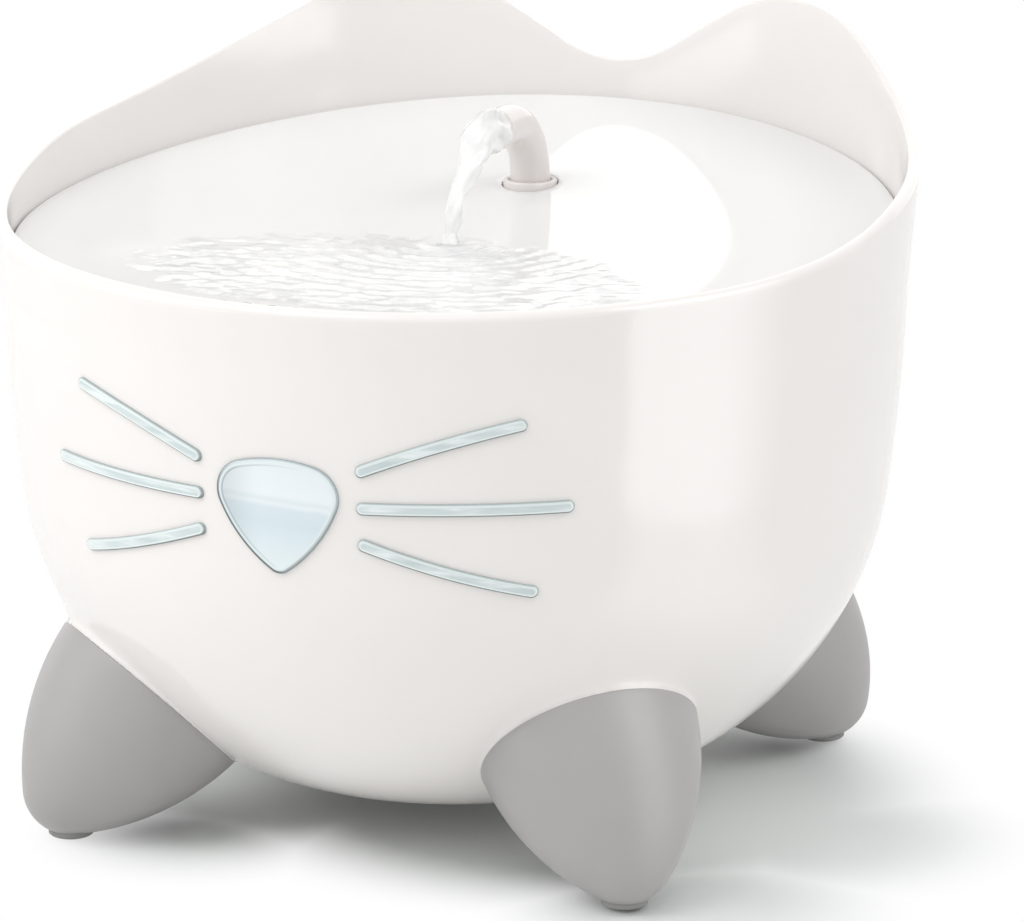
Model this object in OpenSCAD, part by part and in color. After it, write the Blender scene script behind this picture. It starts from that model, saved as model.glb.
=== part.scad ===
// Pet water fountain: round white tank with ears and feet, lift-off drinking tray,
// turning spout, submersible pump and filter. Millimetres, +Z up, front is -Y.
// Origin: on the floor, on the axis of the round body.

/* [Shell] */
// radius of the flat middle of the shell's underside
base_flat_r = 30.4; // [28:0.2:33]
// height of the shell's lowest point above the floor
shell_bottom_z = 8; // [7:0.5:10]
// radius of the curve that turns the bottom upward
heel_radius = 66.6; // [62:0.2:70]
// how much wider the belly curve is than the heel curve, in steps of 13 mm of radius
belly_step = 1.65; // [1.5:0.05:1.8]
// how much wider the side curve is than the belly curve, in steps of 113 mm of radius
side_step = 3.6; // [3.2:0.1:4]
// height where the side starts to lean outward in a straight line
flare_start_z = 135; // [132:0.5:140]
// outward lean of the top of the shell, degrees
flare_angle = 4.86; // [4:0.02:5.4]
// wall thickness of the shell
wall = 3.2; // [2.6:0.1:3.6]

/* [Rim] */
// height of the rim at the front
rim_front_z = 150.5; // [149:0.25:153]
// forward slope of the rim's front half
rim_slope = 0.03; // [0.01:0.005:0.05]
// y where the rim's line starts to curve upward
rim_curve_y = -70; // [-80:1:-60]
// radius of the rim's rise toward the back
rim_rise_radius = 420; // [400:5:460]
// height of the low point between the ears
valley_z = 170; // [168:0.5:173]
// height of the ear tips
ear_tip_z = 191.4; // [188:0.2:194]
// sideways position of each ear tip
ear_x = 56; // [53:0.5:59]
// radius of an ear's rounded top
ear_radius = 45; // [42:0.5:46]
// radius of the hollow between the ears
valley_radius = 30; // [27:0.5:31]

/* [Feet] */
// direction of the front feet from the middle, degrees from the side axis
foot_angle = 45; // [42:0.5:48]
// distance of the foot's base centre from the axis
foot_base_r = 83; // [82.5:0.25:84]
// height of the foot's base centre
foot_base_z = 35.1; // [34.8:0.1:35.6]
// lean of the foot's axis away from upright
foot_lean = 44; // [43.4:0.1:45]
// length of the foot along its axis
foot_length = 43; // [42.5:0.1:44]
// radius of the foot's rounded nose
foot_nose_r = 12; // [11.5:0.25:12.75]
// radius of the foot's flank curve
foot_flank_r = 66.5; // [65:0.1:68]
// wall thickness of a foot
foot_wall = 2.6; // [2:0.1:3]
// radius of the pad under each foot
pad_r = 5.75; // [5.5:0.25:6]
// radius of the flat on which each pad stands
pad_flat_r = 3; // [2:0.25:4]
// lean of the foot screw away from upright
screw_lean = 24; // [22:0.5:26]
// radius of the foot screw's shank
screw_r = 1.75; // [1.5:0.05:2]

/* [Nose and whiskers] */
// height of the nose's upper corners
nose_corner_z = 104.8; // [104:0.1:105.6]
// sideways position of the nose's upper corners
nose_corner_x = 7.7; // [7:0.1:8.4]
// height of the nose's lower corner
nose_tip_z = 88.4; // [87.6:0.1:89.2]
// rounding of the nose's upper corners
nose_corner_r = 8; // [7.4:0.1:8.4]
// rounding of the nose's lower corner
nose_tip_r = 3.5; // [3.2:0.1:3.9]
// bulge radius of the nose's sides
nose_side_r = 37.5; // [35:0.5:40]
// how far the window and whiskers stand proud
proud = 0.9; // [0.4:0.1:1.4]
// width of a whisker bar
whisker_w = 3.2; // [2.6:0.1:3.8]
// depth of a whisker's groove
groove_depth = 1.4; // [1:0.1:1.8]
// angle of the whiskers' inner ends from the front
whisker_start = 10.9; // [10:0.1:12]

/* [Tray] */
// height of the dish's lowest point
dish_z = 142; // [141:0.25:143]
// y of the dish's lowest point
dish_y = -40; // [-46:1:-34]
// radius of the dish from front to back
dish_r_long = 640; // [600:10:700]
// radius of the dish from side to side
dish_r_wide = 1660; // [1500:20:1900]
// thickness of the tray's plate
tray_t = 3; // [2.4:0.1:3.4]
// gap between the tray's edge and the shell
tray_gap = 0.35; // [0.3:0.05:0.6]
// height of the ledge that carries the tray
ledge_z = 128; // [126:0.5:130]
// width of the ledge
ledge_w = 4.5; // [4:0.25:5]
// number of drain slots
slot_count = 9; // [7:2:11]
// width of a drain slot
slot_w = 3; // [2.5:0.25:3.5]

/* [Spout] */
// y of the spout's upright axis
spout_y = 51; // [49:0.5:53]
// outer radius of the spout tube
spout_r = 5.2; // [4.8:0.1:5.4]
// radius of the spout's bend
spout_bend = 17; // [16:0.25:19]
// straight run at the spout's mouth
spout_reach = 6.5; // [5:0.25:8]
// radius of the spout's collar
collar_r = 7; // [6.6:0.1:7.2]
// height of the collar's top above the dish
collar_h = 1; // [0.6:0.1:1.4]
// radius of the spout's stem
stem_r = 5.6; // [5.4:0.05:5.8]

/* [Pump] */
// height of the flat seat moulded in the tank's floor
seat_z = 20; // [19.5:0.25:21]
// height of the pump's underside
pump_z = 26; // [25.5:0.25:27]
// half width of the pump
pump_half = 21; // [20:0.25:22]
// height of the pump's housing
pump_h = 38; // [37:0.5:40]
// height of the rotor's axis above the pump's underside
rotor_z = 18; // [17.5:0.25:18.5]
// radius of the impeller
impeller_r = 14; // [13:0.25:14.5]
// number of impeller blades
blade_count = 6; // [5:1:8]

/* [Filter] */
// half width of the filter basket
basket_half = 42; // [40:0.5:43]
// y of the basket's front side
basket_front_y = -92; // [-93:0.5:-90]
// y of the basket's back side
basket_back_y = -54; // [-56:0.5:-50]
// height of the basket's underside
basket_z = 114; // [112:0.5:115]

/* [Fits] */
// radial clearance of a turning or sliding fit
run_gap = 0.08; // [0.05:0.01:0.1]
// clearance round a seated piece
seat_gap = 0.05; // [0.02:0.01:0.1]

/* [Hidden] */
$fn = 96;
eps = 0.01;
big = 400;

// the shell's outline is three arcs, each tangent to the next, then a leaning line. The arcs
// meet where they run in the directions 5:12 and 112:15, so that every centre is a round number
heel_slope = [5, -12] / 13;
belly_slope = [112, -15] / 113;
belly_radius = heel_radius + 13 * belly_step;
side_radius = belly_radius + 113 * side_step;
c_heel = [base_flat_r, shell_bottom_z + heel_radius];
c_belly = c_heel - 13 * belly_step * heel_slope;
c_side = c_belly - 113 * side_step * belly_slope;
shell_top_z = ear_tip_z + 12;

// radius of the shell's side, a given depth under its outer surface
function side_r(z, d) = c_side[0] + sqrt(pow(side_radius - d, 2) - pow(z - c_side[1], 2));
function flare_r(z, d) = side_r(flare_start_z, d) + (z - flare_start_z) * tan(flare_angle);
function heel_end_z(d) = c_heel[1] + (heel_radius - d) * heel_slope[1];
function belly_end_z(d) = c_belly[1] + (belly_radius - d) * belly_slope[1];

// rim: the line at the front, and the arc that rises toward the back
rim_corner_z = rim_front_z + rim_slope * (rim_curve_y + flare_r(rim_front_z, 0));
rim_a = atan(rim_slope);
// the arc dips this far below the line, so that the two cross cleanly
rim_dip = 0.06;
rim_c = [rim_curve_y - rim_rise_radius * sin(rim_a),
    rim_corner_z + rim_rise_radius * cos(rim_a) - rim_dip];
// ears: the line that touches the ear's circle and the valley's circle
ear_c = [ear_x, ear_tip_z - ear_radius];
valley_c = [0, valley_z + valley_radius];
ear_d = norm(valley_c - ear_c);
ear_dir = atan2(valley_c[1] - ear_c[1], valley_c[0] - ear_c[0]);
ear_t = ear_dir - acos((ear_radius + valley_radius) / ear_d);
ear_in = ear_c + ear_radius * [cos(ear_t), sin(ear_t)];
valley_in = valley_c - valley_radius * [cos(ear_t), sin(ear_t)];
ear_out_a = 32;
ear_out = ear_c + ear_radius * [sin(ear_out_a), cos(ear_out_a)];
ear_far = [ear_x + 46, ear_out[1] - (ear_x + 46 - ear_out[0]) * tan(ear_out_a)];

// feet
foot_nose_s = foot_length - foot_nose_r;
foot_k = foot_flank_r - foot_nose_r;
foot_join = foot_nose_s + foot_nose_r * cos(45);
foot_nose_at = [foot_base_r + foot_nose_s * sin(foot_lean), foot_base_z - foot_nose_s * cos(foot_lean)];
foot_mouth_r = -foot_k * sin(45) + sqrt(pow(foot_flank_r, 2) - pow(foot_nose_s - foot_k * cos(45), 2));
pad_at_r = foot_nose_at[0];
pad_h = foot_nose_at[1] - sqrt(pow(foot_nose_r, 2) - pow(pad_r, 2)) + 0.8;
pad_ball_r = norm([foot_nose_at[1], pad_flat_r]);
screw_head_s = 22;
screw_len = 47;

// nose
nose_top_c = [[-nose_corner_x, nose_corner_z], [nose_corner_x, nose_corner_z], [0, nose_tip_z]];

// whiskers: [end angle, start height, end height]
whisker_set = [[30.0, 112.1, 123.6], [35.9, 102.8, 103.1], [31.6, 93.6, 82.1]];

// tray
function dish_at(x, y) = dish_z + pow(y - dish_y, 2) / (2 * dish_r_long) + pow(x, 2) / (2 * dish_r_wide);
spout_z = dish_at(0, spout_y);
collar_top = spout_z + collar_h;
ledge_r = side_r(ledge_z, wall) - ledge_w;
tray_skirt_t = 2.6;
boss_r = 9.6;
boss_z = 118;
riser_top = 131;
riser_r = 6.9;
riser_bore = 4.6;
stem_bottom = 133.5;
stem_bore = 3;
ring_z = 139;
ring_r = 0.9;
frame_t = 2;
frame_z = 132;
basket_t = 1.6;
frame_half = basket_half + seat_gap;

// pump
axis_z = pump_z + rotor_z;
pump_front = 22;
pump_mid = 45;
pump_back = 59;
cover_back = 66;
magnet_r = 7;
well_r = magnet_r + 0.6;
well_t = 1.2;
shaft_r = 1.15;
nozzle_r = 4.5;
nozzle_top = 78;
cup_x = 13;
cup_ys = [30, 51];
cord_r = 2.25;
grommet_z = 112;
gland_r = 3.6;
gland_x = pump_half - 8;
gland_z = pump_z + pump_h - 8;
// the stator's core stands astride the rotor, and ends just under the gland
core_x = 14.2;
core_t = 5;
core_ys = [27, 39];
core_z = pump_z + 3;
core_top = gland_z - gland_r - 0.4;

// ---- helpers ----

module half(z0, z1) {
    translate([0, z0])
        square([big, z1 - z0]);
}

// outline of the shell, d under its outer surface, cut off at z_top
module shell_outline(d, z_top) {
    z1 = heel_end_z(d);
    z2 = belly_end_z(d);
    translate([0, shell_bottom_z + d])
        square([base_flat_r, z1 - shell_bottom_z - d]);
    intersection() {
        translate(c_heel)
            circle(r = heel_radius - d);
        half(shell_bottom_z + d, z1);
    }
    intersection() {
        translate(c_belly)
            circle(r = belly_radius - d);
        half(z1, z2);
    }
    intersection() {
        translate(c_side)
            circle(r = side_radius - d, $fn = 720);
        half(z2, z_top);
    }
    // the leaning line starts inside the side's arc and crosses it
    polygon([[0, flare_start_z - 20], [flare_r(flare_start_z - 20, d), flare_start_z - 20],
        [flare_r(z_top, d), z_top], [0, z_top]]);
}

module body_solid(d, z_top = shell_top_z) {
    rotate_extrude($fn = 180)
        shell_outline(d, z_top);
}

// a layer of the shell between two depths
module layer(d0, d1, z_top = 150) {
    difference() {
        body_solid(d0, z_top);
        body_solid(d1, z_top + 1);
    }
}

// local frame of a foot: z up along its axis, base at z = 0
module at_foot() {
    translate([foot_base_r, 0, foot_base_z])
        rotate([0, -foot_lean, 0])
            children();
}

// local frame of a foot's screw: z up along the screw
module at_screw() {
    translate([pad_at_r, 0, 0])
        rotate([0, -screw_lean, 0])
            children();
}

module foot_outline(d) {
    intersection() {
        translate([0, -foot_nose_s])
            circle(r = foot_nose_r - d);
        translate([0, -foot_length])
            square([big, foot_length - foot_nose_s - (foot_nose_r - d) * cos(45)]);
    }
    intersection() {
        translate([-foot_k * sin(45), -foot_nose_s + foot_k * cos(45)])
            circle(r = foot_flank_r - d, $fn = 180);
        translate([0, -foot_nose_s - (foot_nose_r - d) * cos(45)])
            square([big, foot_nose_s + (foot_nose_r - d) * cos(45)]);
    }
}

foot_angles = [-foot_angle, 180 + foot_angle, foot_angle, 180 - foot_angle];

// centre of the circle that touches the corner circles at a and b from outside them
function side_c(a, b, ra, rb, m) =
    let(dd = norm(b - a), u = (b - a) / dd, n = [-u[1], u[0]],
        along = (dd * dd + ra * ra - rb * rb) / (2 * dd),
        off = sqrt(ra * ra - along * along), side = (n * (m - a)) > 0 ? 1 : -1)
    a + u * along + n * off * side;

// rounded triangle with bulging sides, point down, grown by g
module rounded_nose(g) {
    c = nose_top_c;
    r = [nose_corner_r + g, nose_corner_r + g, nose_tip_r + g];
    big_r = nose_side_r + g;
    m = (c[0] + c[1] + c[2]) / 3;
    o = [for (i = [0 : 2]) side_c(c[i], c[(i + 1) % 3], big_r - r[i], big_r - r[(i + 1) % 3], m)];
    difference() {
        intersection() {
            translate(o[0])
                circle(r = big_r, $fn = 240);
            translate(o[1])
                circle(r = big_r, $fn = 240);
            translate(o[2])
                circle(r = big_r, $fn = 240);
        }
        for (i = [0 : 2]) {
            // outside the corner circle, beyond the points where it touches the sides
            t1 = o[i] + (c[i] - o[i]) / norm(c[i] - o[i]) * big_r;
            t2 = o[(i + 2) % 3] + (c[i] - o[(i + 2) % 3]) / norm(c[i] - o[(i + 2) % 3]) * big_r;
            e = (t1 - t2) / norm(t1 - t2) * 6;
            d = (c[i] - m) / norm(c[i] - m) * 12;
            difference() {
                polygon([t1 + e, t2 - e, t2 - e + d, t1 + e + d]);
                translate(c[i])
                    circle(r = r[i] + 0.04);
            }
        }
    }
}

// pushes a shape drawn in x and z out through the front of the shell
module through_front(y0, y1) {
    translate([0, -y0, 0])
        rotate([90, 0, 0])
            linear_extrude(height = y1 - y0)
                children();
}

module whisker_shape(row, g) {
    w = whisker_set[row];
    mid = (whisker_start + w[0]) / 2;
    span = 2 * side_r((w[1] + w[2]) / 2, 0) * sin((w[0] - whisker_start) / 2);
    rise = w[2] - w[1];
    rotate([0, 0, mid])
        through_front(60, 130)
            translate([0, (w[1] + w[2]) / 2])
                rotate(atan2(rise, span)) {
                    len = norm([span, rise]);
                    r = whisker_w / 2 + g;
                    square([len, 2 * r], center = true);
                    for (s = [-1, 1])
                        translate([s * len / 2, 0])
                            circle(r = r, $fn = 48);
                }
}

module whisker(row, side) {
    mirror([side < 0 ? 1 : 0, 0, 0])
        intersection() {
            whisker_shape(row, 0);
            layer(-proud, groove_depth);
        }
}

// everything above the rim
module rim_cut() {
    translate([-big / 2, 0, 0])
        rotate([90, 0, 90])
            linear_extrude(height = big) {
                polygon([[-big / 2, rim_corner_z - rim_slope * (big / 2 + rim_curve_y)],
                    [rim_curve_y, rim_corner_z], [rim_curve_y, big], [-big / 2, big]]);
                intersection() {
                    translate(rim_c)
                        circle(r = rim_rise_radius, $fn = 720);
                    translate([rim_curve_y - 20, 100])
                        square([big, big]);
                }
            }
    translate([0, big / 2, 0])
        rotate([90, 0, 0])
            linear_extrude(height = big / 2)
                difference() {
                    translate([-big / 2, 150])
                        square([big, 150]);
                    for (s = [0, 1])
                        mirror([s, 0]) {
                            translate(ear_c)
                                circle(r = ear_radius, $fn = 180);
                            difference() {
                                polygon([[0, 100], [0, valley_c[1]], valley_in, ear_in, ear_c,
                                    ear_out, ear_far, [big, ear_far[1] - 4], [big, 100]]);
                                translate(valley_c)
                                    circle(r = valley_radius, $fn = 180);
                            }
                        }
                }
}

// everything above the dished face of the tray, lowered by d
module dish_cutter(d) {
    translate([0, dish_y, dish_z + dish_r_long - d])
        rotate([0, 90, 0])
            rotate_extrude($fn = 720)
                intersection() {
                    translate([dish_r_long - dish_r_wide, 0])
                        circle(r = dish_r_wide, $fn = 1440);
                    translate([0, -125])
                        square([dish_r_long + 1, 250]);
                }
}

module box(p0, p1) {
    translate(p0)
        cube(p1 - p0);
}

// ---- tank ----

// round wall with its foot collars, open at the top
module shell_wall() {
    difference() {
        union() {
            body_solid(0);
            for (a = foot_angles)
                rotate([0, 0, a])
                    at_foot()
                        cylinder(h = 9, r = foot_mouth_r);
        }
        body_solid(wall, shell_top_z + 1);
    }
}

// ledge, pump seat and screw bosses inside the wall
module shell_inside() {
    intersection() {
        rotate_extrude($fn = 180)
            polygon([[ledge_r, ledge_z], [ledge_r, ledge_z - 1.6],
                [ledge_r + ledge_w + 2, ledge_z - 8], [ledge_r + ledge_w + 2, ledge_z]]);
        body_solid(wall / 2);
    }
    intersection() {
        translate([0, 44, shell_bottom_z])
            cylinder(h = seat_z - shell_bottom_z, r = 26.5);
        body_solid(wall / 2);
    }
    intersection() {
        for (a = foot_angles)
            rotate([0, 0, a])
                at_screw()
                    translate([0, 0, 30])
                        cylinder(h = 22, r = 4.8, $fn = 48);
        body_solid(wall / 2);
    }
}

module outer_shell() {
    color([0.95, 0.94, 0.93])
        difference() {
            difference() {
                difference() {
                    difference() {
                        union() {
                            shell_wall();
                            shell_inside();
                        }
                        rim_cut();
                    }
                    through_front(90, 130)
                        rounded_nose(seat_gap);
                }
                for (a = foot_angles)
                    rotate([0, 0, a])
                        at_screw()
                            cylinder(h = screw_len + 1.5, r = screw_r, $fn = 32);
                translate([0, 100, grommet_z])
                    rotate([-90, 0, 0])
                        cylinder(h = 30, r = 5, $fn = 48);
            }
            for (s = [0, 1])
                mirror([s, 0, 0])
                    for (row = [0 : 2])
                        difference() {
                            whisker_shape(row, seat_gap);
                            body_solid(groove_depth, 150);
                        }
        }
}

module nose_window() {
    color([0.78, 0.88, 0.93, 0.6]) {
        intersection() {
            through_front(90, 130)
                rounded_nose(0);
            layer(-proud, wall + 1.4);
        }
        intersection() {
            through_front(90, 130)
                rounded_nose(2.5);
            layer(wall, wall + 1.4);
        }
    }
}

module whisker_right_upper() {
    color([0.78, 0.88, 0.93, 0.6])
        whisker(0, 1);
}

module whisker_right_middle() {
    color([0.78, 0.88, 0.93, 0.6])
        whisker(1, 1);
}

module whisker_right_lower() {
    color([0.78, 0.88, 0.93, 0.6])
        whisker(2, 1);
}

module whisker_left_upper() {
    color([0.78, 0.88, 0.93, 0.6])
        whisker(0, -1);
}

module whisker_left_middle() {
    color([0.78, 0.88, 0.93, 0.6])
        whisker(1, -1);
}

module whisker_left_lower() {
    color([0.78, 0.88, 0.93, 0.6])
        whisker(2, -1);
}

module foot(angle) {
    color([0.62, 0.62, 0.62])
        rotate([0, 0, angle])
            difference() {
                union() {
                    at_foot()
                        rotate_extrude()
                            difference() {
                                foot_outline(0);
                                foot_outline(foot_wall);
                            }
                    intersection() {
                        at_screw()
                            cylinder(h = 44, r = 6.4, $fn = 48);
                        at_foot()
                            rotate_extrude()
                                foot_outline(foot_wall / 2);
                    }
                }
                body_solid(0, 120);
                at_screw()
                    cylinder(h = screw_head_s + 2.4, r = 3.6, $fn = 48);
                at_screw()
                    cylinder(h = 60, r = screw_r + 0.15, $fn = 32);
                translate([pad_at_r, 0, -1])
                    cylinder(h = pad_h + 1, r = pad_r + seat_gap, $fn = 48);
            }
}

module foot_front_left() {
    foot(180 + foot_angle);
}

module foot_front_right() {
    foot(-foot_angle);
}

module foot_rear_left() {
    foot(180 - foot_angle);
}

module foot_rear_right() {
    foot(foot_angle);
}

module foot_pads() {
    color([0.5, 0.5, 0.5])
        for (a = foot_angles)
            rotate([0, 0, a])
                translate([pad_at_r, 0, 0])
                    rotate_extrude($fn = 48)
                        intersection() {
                            square([pad_r, pad_h]);
                            translate([0, foot_nose_at[1]])
                                circle(r = pad_ball_r);
                        }
}

module foot_screws() {
    color([0.75, 0.75, 0.77])
        for (a = foot_angles)
            rotate([0, 0, a])
                at_screw()
                    difference() {
                        union() {
                            translate([0, 0, screw_head_s])
                                cylinder(h = 2.4, r = 3.3, $fn = 32);
                            translate([0, 0, screw_head_s + 2.3])
                                cylinder(h = screw_len - screw_head_s - 2.3, r = screw_r, $fn = 32);
                        }
                        translate([0, 0, screw_head_s - 1])
                            for (t = [0, 90])
                                rotate([0, 0, t])
                                    cube([3.6, 0.8, 4], center = true);
                    }
}

module cable_grommet() {
    color([0.55, 0.55, 0.55])
        difference() {
            union() {
                intersection() {
                    translate([0, 100, grommet_z])
                        rotate([-90, 0, 0])
                            cylinder(h = 30, r = 5, $fn = 48);
                    layer(-1.2, wall + 1.2);
                }
                intersection() {
                    translate([0, 100, grommet_z])
                        rotate([-90, 0, 0])
                            cylinder(h = 30, r = 7.5, $fn = 48);
                    union() {
                        layer(-1.2, 0);
                        layer(wall, wall + 1.2);
                    }
                }
            }
            translate([0, 95, grommet_z])
                rotate([-90, 0, 0])
                    cylinder(h = 40, r = cord_r, $fn = 48);
        }
}

// ---- pump ----

// lies along +Y from y0 to y1, on the rotor's axis
module along_y(y0, y1) {
    translate([0, y0, axis_z])
        rotate([-90, 0, 0])
            linear_extrude(height = y1 - y0)
                children();
}

module pump_body() {
    color([0.2, 0.2, 0.22])
        difference() {
            union() {
                box([-pump_half, pump_front, pump_z], [pump_half, pump_back, pump_z + pump_h]);
                translate([0, spout_y, pump_z + pump_h - 1])
                    cylinder(h = nozzle_top - pump_z - pump_h + 1, r = nozzle_r + 1.6);
                translate([0, spout_y, pump_z + pump_h - 1])
                    cylinder(h = 5, r = nozzle_r + 3.4);
            }
            // motor room, open at the front
            box([-pump_half + 2, pump_front - 1, pump_z + 2],
                [pump_half - 2, pump_mid - 3, pump_z + pump_h - 2]);
            // volute, open at the back
            along_y(pump_mid, pump_back + 1)
                circle(r = impeller_r + 1.6);
            // seat of the well's collar
            along_y(pump_mid - 5, pump_mid + 1)
                circle(r = well_r);
            translate([0, spout_y, axis_z])
                cylinder(h = big, r = nozzle_r - 1.3);
            for (x = [-cup_x, cup_x])
                for (y = cup_ys)
                    translate([x, y, pump_z - 1])
                        cylinder(h = 2.5, r = 2.2, $fn = 32);
        }
}

module pump_potting() {
    color([0.12, 0.12, 0.13])
        difference() {
            box([-pump_half + 2, pump_front, pump_z + 2],
                [pump_half - 2, pump_mid - 3, pump_z + pump_h - 2]);
            stator_core_shape();
            stator_coil_shape();
            // well that the magnet turns in, closed at its front end
            along_y(pump_front + 1.5, pump_mid)
                circle(r = well_r);
            // seat of the cord gland
            translate([gland_x, pump_front - 1, gland_z])
                rotate([-90, 0, 0])
                    cylinder(h = 9, r = gland_r, $fn = 48);
        }
}

module stator_core_shape() {
    for (x = [-core_x, core_x - core_t])
        box([x, core_ys[0], core_z], [x + core_t, core_ys[1], core_top]);
    box([-core_x, core_ys[0], core_z], [core_x, core_ys[1], core_z + 4]);
}

module stator_core() {
    color([0.5, 0.5, 0.52])
        stator_core_shape();
}

module stator_coil_shape() {
    difference() {
        box([-8, core_ys[0] - 1.8, core_z - 0.8], [8, core_ys[1] + 1.8, core_z + 6.6]);
        box([-9, core_ys[0], core_z], [9, core_ys[1], core_z + 4]);
    }
}

module stator_coil() {
    color([0.72, 0.42, 0.2])
        stator_coil_shape();
}

module pump_cable_gland() {
    color([0.55, 0.55, 0.55])
        translate([gland_x, pump_front, gland_z])
            rotate([90, 0, 0])
                difference() {
                    union() {
                        translate([0, 0, -8])
                            cylinder(h = 8, r = gland_r, $fn = 48);
                        cylinder(h = 1.6, r = 4.6, $fn = 48);
                        cylinder(h = 7, r = 3.2, $fn = 48);
                    }
                    translate([0, 0, -3])
                        cylinder(h = 12, r = cord_r, $fn = 48);
                }
}

module pump_cover() {
    color([0.25, 0.25, 0.27]) {
        difference() {
            union() {
                box([-pump_half, pump_back, pump_z], [pump_half, cover_back, pump_z + pump_h]);
                along_y(pump_back - 1.5, pump_back + 1)
                    circle(r = impeller_r + 1.6 - seat_gap);
            }
            difference() {
                along_y(pump_back - 2, cover_back - 2)
                    circle(r = impeller_r - 1.6);
                // bridge that holds the outer bushing
                along_y(pump_back - 1.5, pump_back + 1)
                    square([2 * impeller_r, 3], center = true);
                along_y(pump_back - 1.5, pump_back + 1)
                    circle(r = 3.4, $fn = 48);
            }
            along_y(pump_back - 2, pump_back + 2)
                circle(r = 2.2, $fn = 48);
            // intake slots
            for (k = [0 : 5])
                along_y(cover_back - 3, cover_back + 1)
                    rotate(k * 60)
                        translate([9, 0])
                            square([5, 3.6], center = true);
            along_y(cover_back - 3, cover_back + 1)
                circle(r = 1.8 + run_gap);
        }
    }
}

module flow_dial() {
    color([0.4, 0.6, 0.7])
        difference() {
            union() {
                along_y(cover_back + 0.3, cover_back + 2.3)
                    circle(r = 13);
                along_y(cover_back - 3, cover_back + 1)
                    circle(r = 1.8, $fn = 48);
                // finger tab
                along_y(cover_back + 1, cover_back + 5)
                    translate([0, -10])
                        square([2.4, 5], center = true);
            }
            for (k = [0 : 5])
                along_y(cover_back - 1, cover_back + 6)
                    rotate(k * 60)
                        translate([8, 0])
                            square([4, 3.6], center = true);
        }
}

module impeller() {
    color([0.85, 0.85, 0.83]) {
        difference() {
            union() {
                along_y(pump_mid + 0.8, pump_mid + 2.4)
                    circle(r = impeller_r);
                along_y(pump_mid + 0.8, pump_back - 2.3)
                    circle(r = 3.6, $fn = 48);
                for (k = [0 : blade_count - 1])
                    along_y(pump_mid + 2, pump_back - 3)
                        rotate(k * 360 / blade_count)
                            translate([impeller_r / 2 + 0.5, 0])
                                square([impeller_r - 1.4, 1.4], center = true);
                along_y(pump_mid - 3, pump_mid + 1)
                    circle(r = 5.2);
            }
            along_y(pump_front, pump_back)
                circle(r = shaft_r + run_gap, $fn = 48);
        }
    }
}

module rotor_magnet() {
    color([0.25, 0.25, 0.25])
        difference() {
            along_y(pump_front + 6, pump_mid - 3)
                circle(r = magnet_r);
            along_y(pump_front, pump_back)
                circle(r = shaft_r + run_gap, $fn = 48);
        }
}

module rotor_shaft() {
    color([0.9, 0.9, 0.88])
        along_y(pump_front + 1.5, pump_back + 1)
            circle(r = shaft_r, $fn = 48);
}

module shaft_bushings() {
    color([0.1, 0.1, 0.1]) {
        difference() {
            along_y(pump_front + 1.5, pump_front + 5)
                circle(r = well_r);
            along_y(pump_front, pump_front + 6)
                circle(r = shaft_r, $fn = 48);
        }
        difference() {
            along_y(pump_back - 1.5, pump_back + 1)
                circle(r = 2.2, $fn = 48);
            along_y(pump_back - 2, pump_back + 2)
                circle(r = shaft_r, $fn = 48);
        }
    }
}

module suction_cups() {
    color([0.85, 0.86, 0.86])
        for (x = [-cup_x, cup_x])
            for (y = cup_ys)
                translate([x, y, seat_z])
                    rotate_extrude($fn = 64)
                        polygon([[0, 2.2], [4.5, 1.4], [7.2, 0], [7.8, 0], [6.4, 2.2], [3.6, 3.6],
                            [3.6, pump_z - seat_z], [2.2, pump_z - seat_z],
                            [2.2, pump_z - seat_z + 1.5], [0, pump_z - seat_z + 1.5]]);
}

module riser_tube() {
    color([0.8, 0.85, 0.88])
        difference() {
            translate([0, spout_y, pump_z + pump_h + 4])
                cylinder(h = riser_top - pump_z - pump_h - 4, r = riser_r);
            translate([0, spout_y, 0])
                cylinder(h = nozzle_top, r = nozzle_r + 1.6);
            translate([0, spout_y, 0])
                cylinder(h = big, r = riser_bore);
        }
}

// ---- tray ----

module slots() {
    for (k = [-(slot_count - 1) / 2 : (slot_count - 1) / 2])
        translate([k * 6.4, 0, 0])
            children();
}

module drinking_tray() {
    color([0.96, 0.96, 0.95])
        difference() {
            union() {
                // plate: between two copies of the dished surface
                difference() {
                    intersection() {
                        body_solid(wall + tray_gap);
                        box([-big / 2, -big / 2, ledge_z], [big / 2, big / 2, big]);
                        dish_cutter(tray_t);
                    }
                    dish_cutter(0);
                }
                intersection() {
                    union() {
                        // skirt that stands on the ledge
                        difference() {
                            translate([0, 0, ledge_z])
                                cylinder(h = 60, r = big, $fn = 180);
                            body_solid(wall + tray_gap + tray_skirt_t, shell_top_z + 1);
                        }
                        // boss that takes the spout's stem and the riser
                        translate([0, spout_y, boss_z])
                            cylinder(h = 40, r = boss_r);
                        // frame that holds the filter basket
                        difference() {
                            box([-frame_half - frame_t, basket_front_y - seat_gap - frame_t, frame_z],
                                [frame_half + frame_t, basket_back_y + seat_gap + frame_t, 180]);
                            box([-frame_half, basket_front_y - seat_gap, frame_z - 1],
                                [frame_half, basket_back_y + seat_gap, 181]);
                        }
                    }
                    body_solid(wall + tray_gap);
                    under_dish();
                }
            }
            // drain slots behind the front rim
            slots()
                translate([-slot_w / 2, basket_front_y + 1, ledge_z])
                    cube([slot_w, 7, 40]);
            // bore for the riser and for the stem
            translate([0, spout_y, 0])
                cylinder(h = stem_bottom - 1, r = riser_r + run_gap);
            translate([0, spout_y, 0])
                cylinder(h = big, r = stem_r + run_gap);
            // seat of the collar
            translate([0, spout_y, spout_z - 2.5])
                cylinder(h = big, r = collar_r + 0.35);
        }
}

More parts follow.
